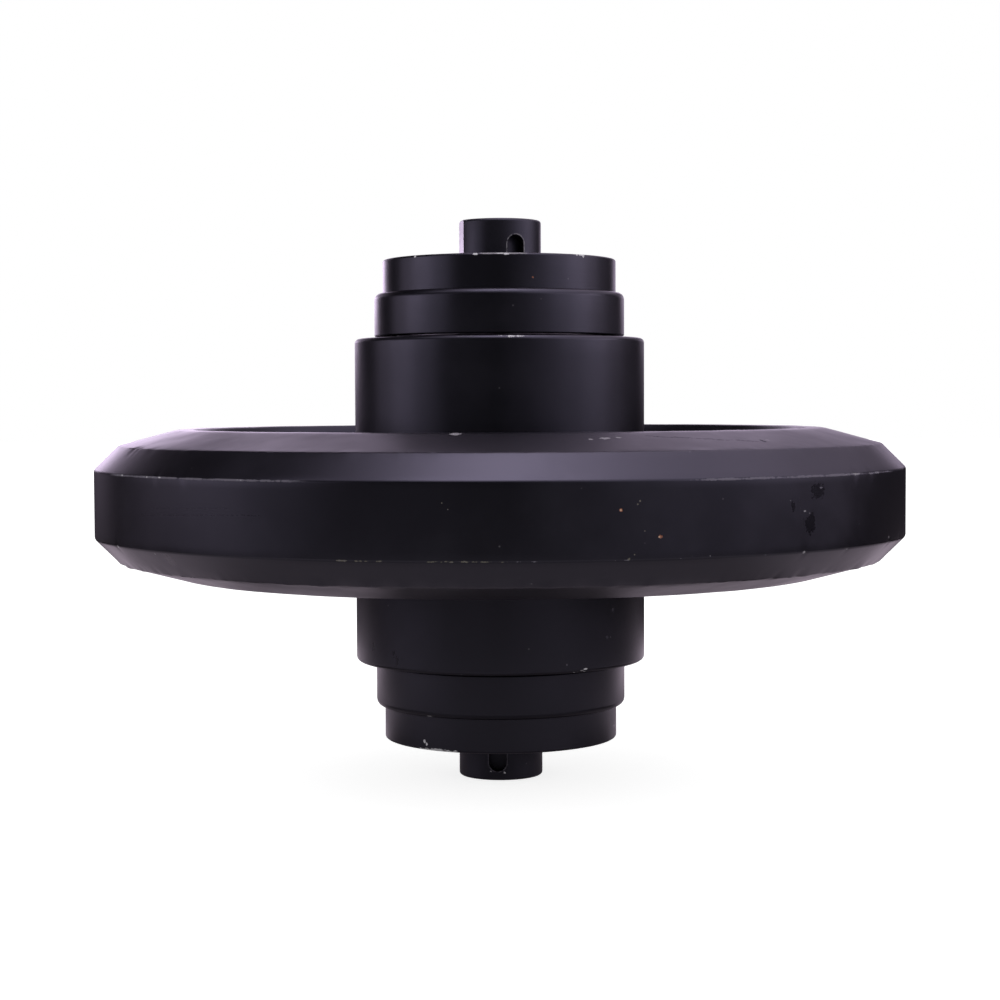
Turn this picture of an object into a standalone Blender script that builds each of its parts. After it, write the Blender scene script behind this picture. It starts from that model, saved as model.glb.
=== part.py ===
"""Rear idler of a compact crawler machine, as an assembly that comes apart on a bench.

The axle stands along +Z and the origin is the wheel's centre. The wheel (rim, web disc, hub and
welds) turns on two sleeves about the axle. A stepped collar closes each side, with a floating face
seal between hub and collar. One-sided pieces are drawn for the upper side and hang on an empty;
the lower side's empty is turned half a turn about Y. All sizes are in metres.
"""

import math

import bmesh
import bpy
from mathutils import Matrix

# Fits
FIT = 0.0003  # clearance between two surfaces that touch or seat
RUNNING_GAP = 0.0012  # between the hub's end and the collar
RING_FACE_GAP = 0.0003  # between the lapped faces of a seal's two rings

# Rim, from the tread inwards
TREAD_RADIUS = 0.200
TREAD_WIDTH = 0.033
RIM_CHAMFER = 0.0115  # 45 degrees on each edge of the tread
CONE_HEIGHT = 0.0285  # radial height of the sloping side face
CONE_RISE = 0.0077  # how far that face swells sideways
LAND_HEIGHT = 0.0085  # flat ring at the widest place
RECESS_DRAFT = 0.0055  # the recess narrows by this towards the web

# Web disc and welds
WEB_THICKNESS = 0.022
RIM_WELD_LEG = 0.008
HUB_WELD_LEG = 0.009
WELD_BULGE = 0.0009

# Axle
SPIGOT_RADIUS = 0.0209
SPIGOT_LENGTH = 0.01955  # stands out of the collar
SPIGOT_CHAMFER = 0.0014
JOURNAL_STEP = 0.0066  # the journal stands this far above the spigot's surface
JOURNAL_CHAMFER = 0.001
OIL_PASSAGE_RADIUS = 0.003
OIL_PASSAGE_TAIL = 0.006  # how far the passage runs past the wheel's middle
OIL_CROSS_HOLE_RADIUS = 0.0022

# Lock features on the two axle ends
SLOT_WIDTH = 0.009
SLOT_DEPTH = 0.007
SLOT_END_MARGIN = 0.0063  # from the slot's round end to the axle's end
SLOT_UNDERCUT = 0.003  # the slot starts this far under the collar's face
UPPER_SLOT_TURN = math.radians(22.0)  # from the front, to the right
LOWER_SLOT_TURN = math.radians(-5.0)
FLAT_DEPTH = 0.002
FLAT_TURN = math.radians(-82.0)

# Bearings
BUSHING_WALL = 0.0052
BUSHING_LENGTH = 0.040
BUSHING_STOP = 0.002  # hub bore beyond the bushing's inner end
COUNTERBORE_DEPTH = 0.0201  # from the hub's end to the bushing's end
RESERVOIR_STEP = 0.0047  # the oil space is this much wider than the hub's bore
WASHER_WIDTH = 0.0107
WASHER_THICKNESS = 0.004

# Floating face seal
NOSE_RELIEF = 0.0005  # the collar's nose is this much smaller than the washer
SEAL_INNER_CLEARANCE = 0.003
SEAL_RING_WALL = 0.0052
SEAL_FLANGE_STEP = 0.0053
SEAL_FLANGE_THICKNESS = 0.0025
SEAL_FLANGE_FILLET = 0.0008
SEAL_RING_LENGTH = 0.0094
SEAL_FACE_RELIEF = 0.0009
TORIC_SECTION_RADIUS = 0.00345
SEAL_MOUTH_CHAMFER = 0.0013

# Hub
HUB_LENGTH = 0.1602
HUB_WALL = 0.0185  # outside the seal housing
HUB_EDGE_RADIUS = 0.0022

# Collars
SHOULDER_WALL = 0.0086  # outside the seal housing
SHOULDER_LENGTH = 0.0213
SHOULDER_ROUND_REACH = 0.0036
SHOULDER_ROUND_LENGTH = 0.003
CAP_STEP = 0.0042  # the cap is this much smaller than the shoulder
CAP_LENGTH = 0.01655
CAP_CHAMFER = 0.0011
COLLAR_BORE_CHAMFER = 0.0006
JOURNAL_OVERRUN = 0.0004  # the journal ends this far past the seal housing's floor

# Small parts
O_RING_SECTION_RADIUS = 0.0013
O_RING_SETBACK = 0.007  # from the journal's end to the groove's middle
LOCK_PIN_RADIUS = 0.005
LOCK_PIN_BITE = 0.009  # how deep the pin enters the axle
LOCK_PIN_RECESS = 0.002
LOCK_PIN_CHAMFER = 0.0008
PLUG_RADIUS = 0.0057
PLUG_SHANK_LENGTH = 0.009
PLUG_SHANK_CHAMFER = 0.00075
PLUG_HEAD_STEP = 0.003
PLUG_HEAD_THICKNESS = 0.0034
PLUG_WASHER_THICKNESS = 0.0012
PLUG_SOCKET_ACROSS_FLATS = 0.008
PLUG_SOCKET_DEPTH = 0.004

# Roundness
RIM_SEGMENTS = 64
TURNED_SEGMENTS = 40
RING_SEGMENTS = 32
PIN_SEGMENTS = 20
SECTION_POINTS = 6
CORNER_STEPS = 3
SHARP_ANGLE = math.radians(35.0)
MERGE_DISTANCE = 1e-6
CUTTER_SPARE = 0.004  # how far a cutter reaches past the surface that it opens

# Finishes: colour, metallic, roughness
BLACK_PAINT = ((0.013, 0.012, 0.016, 1.0), 0.0, 0.32)
WELD_PAINT = ((0.016, 0.015, 0.019, 1.0), 0.0, 0.45)
GROUND_STEEL = ((0.42, 0.42, 0.43, 1.0), 1.0, 0.28)
SEAL_IRON = ((0.30, 0.30, 0.31, 1.0), 1.0, 0.30)
BRONZE = ((0.55, 0.33, 0.14, 1.0), 1.0, 0.35)
RUBBER = ((0.018, 0.018, 0.018, 1.0), 0.0, 0.60)
COPPER = ((0.60, 0.26, 0.15, 1.0), 1.0, 0.35)

# Radii, from the axle outwards
journal_radius = SPIGOT_RADIUS + JOURNAL_STEP
sleeve_bore = journal_radius + FIT
bushing_radius = sleeve_bore + BUSHING_WALL
hub_bore = bushing_radius + FIT
reservoir_radius = hub_bore + RESERVOIR_STEP
washer_radius = sleeve_bore + WASHER_WIDTH
counterbore_radius = washer_radius + FIT
nose_radius = washer_radius - NOSE_RELIEF
seal_ring_bore = nose_radius + SEAL_INNER_CLEARANCE
seal_ring_radius = seal_ring_bore + SEAL_RING_WALL
seal_flange_radius = seal_ring_radius + SEAL_FLANGE_STEP
toric_middle_radius = seal_ring_radius + FIT + TORIC_SECTION_RADIUS
housing_radius = toric_middle_radius + TORIC_SECTION_RADIUS + FIT
hub_radius = housing_radius + HUB_WALL
shoulder_radius = housing_radius + SHOULDER_WALL
cap_radius = shoulder_radius - CAP_STEP
collar_bore = SPIGOT_RADIUS + FIT
o_ring_middle_radius = sleeve_bore - FIT - O_RING_SECTION_RADIUS
o_ring_groove_radius = o_ring_middle_radius - O_RING_SECTION_RADIUS - FIT
chamfer_radius = TREAD_RADIUS - RIM_CHAMFER
land_outer_radius = chamfer_radius - CONE_HEIGHT
land_inner_radius = land_outer_radius - LAND_HEIGHT
rim_bore = land_inner_radius - RECESS_DRAFT
plug_head_radius = PLUG_RADIUS + PLUG_HEAD_STEP

# Heights on the upper side, from the wheel's middle outwards
tread_top = TREAD_WIDTH / 2.0
chamfer_top = tread_top + RIM_CHAMFER
rim_top = chamfer_top + CONE_RISE
web_top = WEB_THICKNESS / 2.0
weld_foot = web_top + FIT
rim_bore_top = weld_foot + RIM_WELD_LEG + FIT
hub_top = HUB_LENGTH / 2.0
bushing_top = hub_top - COUNTERBORE_DEPTH
bushing_bottom = bushing_top - BUSHING_LENGTH
reservoir_top = bushing_bottom - BUSHING_STOP
washer_bottom = bushing_top + FIT
nose_bottom = washer_bottom + WASHER_THICKNESS + FIT
collar_bottom = hub_top + RUNNING_GAP
seal_plane = hub_top + RUNNING_GAP / 2.0
flange_back = RING_FACE_GAP / 2.0 + SEAL_FLANGE_THICKNESS + SEAL_FLANGE_FILLET
toric_offset = flange_back + FIT + TORIC_SECTION_RADIUS
housing_depth = toric_offset + TORIC_SECTION_RADIUS + FIT
journal_top = seal_plane + housing_depth + JOURNAL_OVERRUN
o_ring_height = journal_top - O_RING_SETBACK
shoulder_top = collar_bottom + SHOULDER_LENGTH
cap_top = shoulder_top + CAP_LENGTH
axle_top = cap_top + SPIGOT_LENGTH
lock_pin_height = shoulder_top + CAP_LENGTH / 2.0
plug_top = axle_top - FIT
plug_head_bottom = plug_top - PLUG_HEAD_THICKNESS
plug_washer_top = plug_head_bottom - FIT
plug_seat = plug_washer_top - PLUG_WASHER_THICKNESS - FIT
plug_bottom = plug_head_bottom - PLUG_SHANK_LENGTH
plug_hole_bottom = plug_bottom - FIT


def clear_scene():
    """Empty the scene of its objects."""
    for thing in list(bpy.data.objects):
        bpy.data.objects.remove(thing, do_unlink=True)


def mirrored(half):
    """A profile's upper half followed by its mirror image below the wheel's middle."""
    return half + [(radius, -height) for radius, height in reversed(half)]


def rounded_corner(radius, height, reach, length, steps=CORNER_STEPS):
    """Points of an elliptic quarter from the outer wall over to the end face."""
    points = []
    for step in range(steps + 1):
        turn = math.radians(90.0) * step / steps
        across = radius - reach + reach * math.cos(turn)
        along = height - length + length * math.sin(turn)
        points.append((across, along))
    return points


def section_circle(radius, height, section_radius, count=SECTION_POINTS):
    """The round section of a rubber ring."""
    points = []
    for step in range(count):
        turn = 2.0 * math.pi * step / count
        points.append((radius + section_radius * math.cos(turn), height + section_radius * math.sin(turn)))
    return points


def turned_mesh(name, profile, segments=TURNED_SEGMENTS, closed=True):
    """Spin a profile of (radius, height) points about Z into one closed body."""
    shape = bmesh.new()
    points = [shape.verts.new((radius, 0.0, height)) for radius, height in profile]
    edges = [shape.edges.new(pair) for pair in zip(points, points[1:])]
    if closed:
        edges.append(shape.edges.new((points[-1], points[0])))
    bmesh.ops.spin(
        shape,
        geom=points + edges,
        cent=(0.0, 0.0, 0.0),
        axis=(0.0, 0.0, 1.0),
        dvec=(0.0, 0.0, 0.0),
        angle=2.0 * math.pi,
        steps=segments,
        use_merge=True,
    )
    return finished_mesh(name, shape)


def finished_mesh(name, shape):
    """Close the seams of a shape, point its faces outwards and make it a mesh."""
    bmesh.ops.remove_doubles(shape, verts=shape.verts, dist=MERGE_DISTANCE)
    bmesh.ops.recalc_face_normals(shape, faces=shape.faces)
    mesh = bpy.data.meshes.new(name)
    shape.to_mesh(mesh)
    shape.free()
    mesh.shade_smooth()
    mesh.set_sharp_from_angle(angle=SHARP_ANGLE)
    return mesh


def finish_material(name, finish):
    """A painted or bare surface with the given colour, metallic and roughness."""
    colour, metallic, roughness = finish
    material = bpy.data.materials.new(name + "_finish")
    material.use_nodes = True
    surface = material.node_tree.nodes["Principled BSDF"]
    surface.inputs["Base Color"].default_value = colour
    surface.inputs["Metallic"].default_value = metallic
    surface.inputs["Roughness"].default_value = roughness
    material.diffuse_color = colour
    return material


def place(name, mesh, finish, parent):
    """Put a mesh in the scene as a named part with its own finish."""
    part = bpy.data.objects.new(name, mesh)
    bpy.context.scene.collection.objects.link(part)
    part.parent = parent
    if not mesh.materials:
        mesh.materials.append(None)
    part.material_slots[0].link = "OBJECT"
    part.material_slots[0].material = finish_material(name, finish)
    return part


def place_empty(name, parent=None, turn_y=0.0):
    """An empty on the axle's line, at the wheel's middle."""
    empty = bpy.data.objects.new(name, None)
    bpy.context.scene.collection.objects.link(empty)
    empty.parent = parent
    empty.rotation_euler = (0.0, turn_y, 0.0)
    return empty


def place_cutter(name, mesh, parent, location=(0.0, 0.0, 0.0), rotation=(0.0, 0.0, 0.0)):
    """A shape that only cuts."""
    cutter = bpy.data.objects.new(name, mesh)
    bpy.context.scene.collection.objects.link(cutter)
    cutter.parent = parent
    cutter.location = location
    cutter.rotation_euler = rotation
    cutter.hide_render = True
    cutter.display_type = "WIRE"
    return cutter


def cut(part, cutter):
    """Take a cutter's shape out of a part."""
    step = part.modifiers.new(cutter.name, "BOOLEAN")
    step.operation = "DIFFERENCE"
    step.solver = "EXACT"
    step.object = cutter


def rod_mesh(name, radius, bottom, top, segments=PIN_SEGMENTS, chamfer=0.0):
    """A solid rod along Z, with chamfered ends where a chamfer is given."""
    profile = [(0.0, bottom), (radius - chamfer, bottom)]
    if chamfer > 0.0:
        profile.append((radius, bottom + chamfer))
        profile.append((radius, top - chamfer))
    profile.append((radius - chamfer, top))
    profile.append((0.0, top))
    return turned_mesh(name, profile, segments, closed=False)


def block_mesh(name, low, high):
    """A box between two corners."""
    shape = bmesh.new()
    size = [far - near for near, far in zip(low, high)]
    middle = [(far + near) / 2.0 for near, far in zip(low, high)]
    bmesh.ops.create_cube(shape, size=1.0, matrix=Matrix.Translation(middle) @ Matrix.Diagonal((*size, 1.0)))
    return finished_mesh(name, shape)


def slot_mesh(name):
    """The U-shaped lock slot of the upper axle end, cut in from the front."""
    half_width = SLOT_WIDTH / 2.0
    bottom = cap_top - SLOT_UNDERCUT
    round_middle = axle_top - SLOT_END_MARGIN - half_width
    outline = [(-half_width, bottom), (half_width, bottom)]
    for step in range(PIN_SEGMENTS // 2 + 1):
        turn = math.pi * step / (PIN_SEGMENTS // 2)
        outline.append((half_width * math.cos(turn), round_middle + half_width * math.sin(turn)))
    floor = -(SPIGOT_RADIUS - SLOT_DEPTH)
    mouth = -(SPIGOT_RADIUS + CUTTER_SPARE)
    shape = bmesh.new()
    face = shape.faces.new([shape.verts.new((across, floor, height)) for across, height in outline])
    grown = bmesh.ops.extrude_face_region(shape, geom=[face])
    far_side = [item for item in grown["geom"] if isinstance(item, bmesh.types.BMVert)]
    bmesh.ops.translate(shape, verts=far_side, vec=(0.0, mouth - floor, 0.0))
    return finished_mesh(name, shape)


def build_rim(wheel):
    """The forged ring that the track runs on."""
    half = [
        (TREAD_RADIUS, tread_top),
        (chamfer_radius, chamfer_top),
        (land_outer_radius, rim_top),
        (land_inner_radius, rim_top),
        (rim_bore, rim_bore_top),
    ]
    place("rim", turned_mesh("rim", mirrored(half), RIM_SEGMENTS), BLACK_PAINT, wheel)


def build_web_disc(wheel):
    """The plate between hub and rim."""
    half = [(rim_bore - FIT, web_top), (hub_radius + FIT, web_top)]
    place("web_disc", turned_mesh("web_disc", mirrored(half), RIM_SEGMENTS), BLACK_PAINT, wheel)


def build_hub(wheel):
    """The tube that holds the bearings and half of each face seal."""
    half = rounded_corner(hub_radius, hub_top, HUB_EDGE_RADIUS, HUB_EDGE_RADIUS)
    half += [
        (housing_radius + SEAL_MOUTH_CHAMFER, hub_top),
        (housing_radius, hub_top - SEAL_MOUTH_CHAMFER),
        (housing_radius, seal_plane - housing_depth),
        (counterbore_radius, seal_plane - housing_depth),
        (counterbore_radius, bushing_top),
        (hub_bore, bushing_top),
        (hub_bore, reservoir_top),
        (reservoir_radius, reservoir_top),
    ]
    place("hub", turned_mesh("hub", mirrored(half)), BLACK_PAINT, wheel)


def weld_profile(wall_radius, leg, outward):
    """A fillet bead between a round wall and the web's upper face.

    outward is 1 where the bead lies outside the wall, and -1 where it lies inside it.
    """
    foot = wall_radius + outward * FIT
    bulge = (leg / 2.0 + WELD_BULGE) * outward
    return [
        (foot, weld_foot),
        (foot + outward * leg, weld_foot),
        (foot + bulge, weld_foot + leg / 2.0 + WELD_BULGE),
        (foot, weld_foot + leg),
    ]


def build_welds(side, name):
    """The two weld beads on one side of the web."""
    rim_bead = weld_profile(rim_bore, RIM_WELD_LEG, -1.0)
    hub_bead = weld_profile(hub_radius, HUB_WELD_LEG, 1.0)
    place(name + "_rim_weld", turned_mesh(name + "_rim_weld", rim_bead, RIM_SEGMENTS), WELD_PAINT, side)
    place(name + "_hub_weld", turned_mesh(name + "_hub_weld", hub_bead), WELD_PAINT, side)


def build_bearing(side, name):
    """One sleeve and the washer that takes the side load."""
    sleeve = [
        (sleeve_bore, bushing_bottom),
        (bushing_radius, bushing_bottom),
        (bushing_radius, bushing_top),
        (sleeve_bore, bushing_top),
    ]
    washer_top = washer_bottom + WASHER_THICKNESS
    washer = [
        (sleeve_bore, washer_bottom),
        (washer_radius, washer_bottom),
        (washer_radius, washer_top),
        (sleeve_bore, washer_top),
    ]
    place(name + "_bushing", turned_mesh(name + "_bushing", sleeve), BRONZE, side)
    place(name + "_thrust_washer", turned_mesh(name + "_thrust_washer", washer), BRONZE, side)


def seal_ring_profile(direction):
    """A metal seal ring that reaches from the seal plane into its housing.

    direction is 1 for the collar's ring, and -1 for the hub's.
    """
    half_gap = RING_FACE_GAP / 2.0
    offsets = [
        (seal_ring_bore, half_gap + SEAL_FACE_RELIEF),
        (seal_ring_radius, half_gap),
        (seal_flange_radius, half_gap),
        (seal_flange_radius, half_gap + SEAL_FLANGE_THICKNESS),
        (seal_ring_radius, flange_back),
        (seal_ring_radius, half_gap + SEAL_RING_LENGTH),
        (seal_ring_bore, half_gap + SEAL_RING_LENGTH),
    ]
    return [(radius, seal_plane + direction * offset) for radius, offset in offsets]


def build_seal_half(body, name, direction):
    """One metal ring of a floating face seal and the rubber toric around it."""
    toric = section_circle(toric_middle_radius, seal_plane + direction * toric_offset, TORIC_SECTION_RADIUS)
    ring = seal_ring_profile(direction)
    place(name + "_seal_ring", turned_mesh(name + "_seal_ring", ring), SEAL_IRON, body)
    place(name + "_toric", turned_mesh(name + "_toric", toric), RUBBER, body)


def lock_pin_span():
    """The radii between which a lock pin lies."""
    return SPIGOT_RADIUS - LOCK_PIN_BITE, cap_radius - LOCK_PIN_RECESS


def lock_pin_cutter(side, name):
    """The radial hole that a lock pin sits in, entered from the back."""
    inner, _ = lock_pin_span()
    hole = rod_mesh(name, LOCK_PIN_RADIUS + FIT, inner - FIT, cap_radius + CUTTER_SPARE)
    towards_back = (math.radians(-90.0), 0.0, 0.0)
    return place_cutter(name, hole, side, (0.0, 0.0, lock_pin_height), towards_back)


def build_collar(side, name, pin_hole):
    """The stepped end piece: shoulder, cap, seal housing and the nose that meets the washer."""
    housing_top = seal_plane + housing_depth
    mouth = housing_radius + SEAL_MOUTH_CHAMFER
    profile = [(mouth, collar_bottom), (shoulder_radius, collar_bottom)]
    profile += rounded_corner(shoulder_radius, shoulder_top, SHOULDER_ROUND_REACH, SHOULDER_ROUND_LENGTH)
    profile += [
        (cap_radius, shoulder_top),
        (cap_radius, cap_top - CAP_CHAMFER),
        (cap_radius - CAP_CHAMFER, cap_top),
        (collar_bore + COLLAR_BORE_CHAMFER, cap_top),
        (collar_bore, cap_top - COLLAR_BORE_CHAMFER),
        (collar_bore, journal_top + FIT),
        (sleeve_bore, journal_top + FIT),
        (sleeve_bore, nose_bottom),
        (nose_radius, nose_bottom),
        (nose_radius, housing_top),
        (housing_radius, housing_top),
        (housing_radius, collar_bottom + SEAL_MOUTH_CHAMFER),
    ]
    collar = place(name, turned_mesh(name, profile), BLACK_PAINT, side)
    cut(collar, pin_hole)


def build_lock_pin(side, name):
    """The radial pin that holds a collar on the axle."""
    inner, outer = lock_pin_span()
    pin = rod_mesh(name, LOCK_PIN_RADIUS, inner, outer, chamfer=LOCK_PIN_CHAMFER)
    part = place(name, pin, GROUND_STEEL, side)
    part.location = (0.0, 0.0, lock_pin_height)
    part.rotation_euler = (math.radians(-90.0), 0.0, 0.0)


def build_o_ring(side, name):
    """The ring that seals a collar on the axle's journal."""
    profile = section_circle(o_ring_middle_radius, o_ring_height, O_RING_SECTION_RADIUS)
    place(name, turned_mesh(name, profile, RING_SEGMENTS), RUBBER, side)


def axle_end_profile():
    """The axle's outline on one side, from the journal's middle to the spigot's end."""
    groove_half = O_RING_SECTION_RADIUS + FIT
    return [
        (journal_radius, o_ring_height - groove_half),
        (o_ring_groove_radius, o_ring_height - groove_half),
        (o_ring_groove_radius, o_ring_height + groove_half),
        (journal_radius, o_ring_height + groove_half),
        (journal_radius, journal_top - JOURNAL_CHAMFER),
        (journal_radius - JOURNAL_CHAMFER, journal_top),
        (SPIGOT_RADIUS, journal_top),
        (SPIGOT_RADIUS, axle_top - SPIGOT_CHAMFER),
        (SPIGOT_RADIUS - SPIGOT_CHAMFER, axle_top),
    ]


def build_axle(root, upper, lower, pin_holes):
    """The axle with its oil passage, plug seat, lock slots, flat and pin holes."""
    counterbore = plug_head_radius + FIT
    plug_hole = PLUG_RADIUS + FIT
    outside = axle_end_profile()
    profile = [(0.0, -axle_top)]
    profile += [(radius, -height) for radius, height in reversed(outside)]
    profile += outside
    profile += [
        (counterbore, axle_top),
        (counterbore, plug_seat),
        (plug_hole, plug_seat),
        (plug_hole, plug_hole_bottom),
        (OIL_PASSAGE_RADIUS, plug_hole_bottom),
        (OIL_PASSAGE_RADIUS, -OIL_PASSAGE_TAIL),
        (0.0, -OIL_PASSAGE_TAIL),
    ]
    axle = place("axle", turned_mesh("axle", profile, closed=False), BLACK_PAINT, root)
    reach = journal_radius + CUTTER_SPARE
    cross_mesh = rod_mesh("oil_cross_hole", OIL_CROSS_HOLE_RADIUS, -reach, reach)
    cross_hole = place_cutter("oil_cross_hole", cross_mesh, root, rotation=(0.0, math.radians(90.0), 0.0))
    slots = slot_mesh("lock_slot")
    upper_slot = place_cutter("upper_lock_slot", slots, upper, rotation=(0.0, 0.0, UPPER_SLOT_TURN))
    lower_slot = place_cutter("lower_lock_slot", slots, lower, rotation=(0.0, 0.0, -LOWER_SLOT_TURN))
    flat_low = (-SPIGOT_RADIUS, -(SPIGOT_RADIUS + CUTTER_SPARE), cap_top + FIT)
    flat_high = (SPIGOT_RADIUS, -(SPIGOT_RADIUS - FLAT_DEPTH), axle_top + CUTTER_SPARE)
    flat_block = block_mesh("milled_flat", flat_low, flat_high)
    flat = place_cutter("milled_flat", flat_block, upper, rotation=(0.0, 0.0, FLAT_TURN))
    for cutter in (cross_hole, upper_slot, lower_slot, flat, *pin_holes):
        cut(axle, cutter)


def build_plug(upper):
    """The oil plug with its hexagon socket, and the washer under its head."""
    profile = [
        (0.0, plug_bottom),
        (PLUG_RADIUS - PLUG_SHANK_CHAMFER, plug_bottom),
        (PLUG_RADIUS, plug_bottom + PLUG_SHANK_CHAMFER),
        (PLUG_RADIUS, plug_head_bottom),
        (plug_head_radius, plug_head_bottom),
        (plug_head_radius, plug_top),
        (0.0, plug_top),
    ]
    plug = place("oil_plug", turned_mesh("oil_plug", profile, PIN_SEGMENTS, closed=False), GROUND_STEEL, upper)
    socket_radius = PLUG_SOCKET_ACROSS_FLATS / math.sqrt(3.0)
    socket_bottom = plug_top - PLUG_SOCKET_DEPTH
    socket = rod_mesh("plug_socket", socket_radius, socket_bottom, plug_top + CUTTER_SPARE, segments=6)
    cut(plug, place_cutter("plug_socket", socket, upper))
    washer = [
        (PLUG_RADIUS + FIT, plug_seat + FIT),
        (plug_head_radius, plug_seat + FIT),
        (plug_head_radius, plug_washer_top),
        (PLUG_RADIUS + FIT, plug_washer_top),
    ]
    place("plug_washer", turned_mesh("plug_washer", washer, PIN_SEGMENTS), COPPER, upper)


def main():
    """Build the standing parts on the axle's empty and the turning parts on the wheel's."""
    clear_scene()
    axle_line = place_empty("axle_line")
    wheel_pivot = place_empty("wheel_pivot")
    build_rim(wheel_pivot)
    build_web_disc(wheel_pivot)
    build_hub(wheel_pivot)
    standing_sides = []
    pin_holes = []
    for name, turn_y in (("upper", 0.0), ("lower", math.pi)):
        standing = place_empty(name + "_standing_side", axle_line, turn_y)
        turning = place_empty(name + "_turning_side", wheel_pivot, turn_y)
        pin_hole = lock_pin_cutter(standing, name + "_lock_pin_hole")
        build_welds(turning, name)
        build_bearing(turning, name)
        build_seal_half(turning, name + "_hub", -1.0)
        build_seal_half(standing, name + "_collar", 1.0)
        build_collar(standing, name + "_collar", pin_hole)
        build_lock_pin(standing, name + "_lock_pin")
        build_o_ring(standing, name + "_o_ring")
        standing_sides.append(standing)
        pin_holes.append(pin_hole)
    upper, lower = standing_sides
    build_axle(axle_line, upper, lower, pin_holes)
    build_plug(upper)


main()
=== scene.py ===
"""Looks of a rear idler: a black enamelled crawler wheel that stands on the end of its axle."""

import logging
import math
from dataclasses import dataclass
from enum import Enum
from typing import Callable, ClassVar, Optional, Sequence, Union

import bmesh
import bpy
from mathutils import Matrix, Vector


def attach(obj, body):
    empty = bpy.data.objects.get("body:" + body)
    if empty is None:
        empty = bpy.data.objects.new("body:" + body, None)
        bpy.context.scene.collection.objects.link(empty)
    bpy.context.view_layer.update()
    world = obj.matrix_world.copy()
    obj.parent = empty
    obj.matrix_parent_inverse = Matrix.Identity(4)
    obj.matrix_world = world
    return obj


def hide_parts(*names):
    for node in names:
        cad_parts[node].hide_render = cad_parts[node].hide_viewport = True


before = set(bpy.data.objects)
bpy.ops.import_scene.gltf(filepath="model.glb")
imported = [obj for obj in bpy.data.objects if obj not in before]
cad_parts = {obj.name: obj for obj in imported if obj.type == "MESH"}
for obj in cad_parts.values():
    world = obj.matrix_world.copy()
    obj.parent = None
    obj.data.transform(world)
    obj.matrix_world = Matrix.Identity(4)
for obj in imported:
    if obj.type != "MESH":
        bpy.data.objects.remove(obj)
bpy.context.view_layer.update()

WHEEL_BODY = "wheel"
AXLE_BODY = "axle_assembly"
FIT = 0.0003
NEAR = 1e-5

ALL_ROUND = 400.0
ROUND_ANGLE = 60.0

Colour = tuple[float, float, float, float]
Socket = bpy.types.NodeSocket
Tree = bpy.types.NodeTree
Material = bpy.types.Material
Piece = bpy.types.Object
Value = Union[Socket, float, Sequence[float]]
Test = Callable[[Vector], bool]
Weight = Callable[[float, float, float], float]

logging.basicConfig(level=logging.INFO, format="%(message)s")
log = logging.getLogger("idler")


class Side(Enum):
    """The two ends of the axle; the value is the sign of their heights."""

    UPPER = 1
    LOWER = -1

    @property
    def word(self) -> str:
        """The side's name as the CAD nodes write it."""
        return self.name.lower()


class Slot(Enum):
    """Material slots of the record."""

    WHEEL = "wheel_paint"
    COLLAR = "collar_paint"
    AXLE = "axle_paint"
    WELD = "weld_paint"
    BRONZE = "bearing_bronze"
    IRON = "seal_iron"
    RUBBER = "seal_rubber"
    STEEL = "ground_steel"
    COPPER = "copper"


# Node graphs


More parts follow.
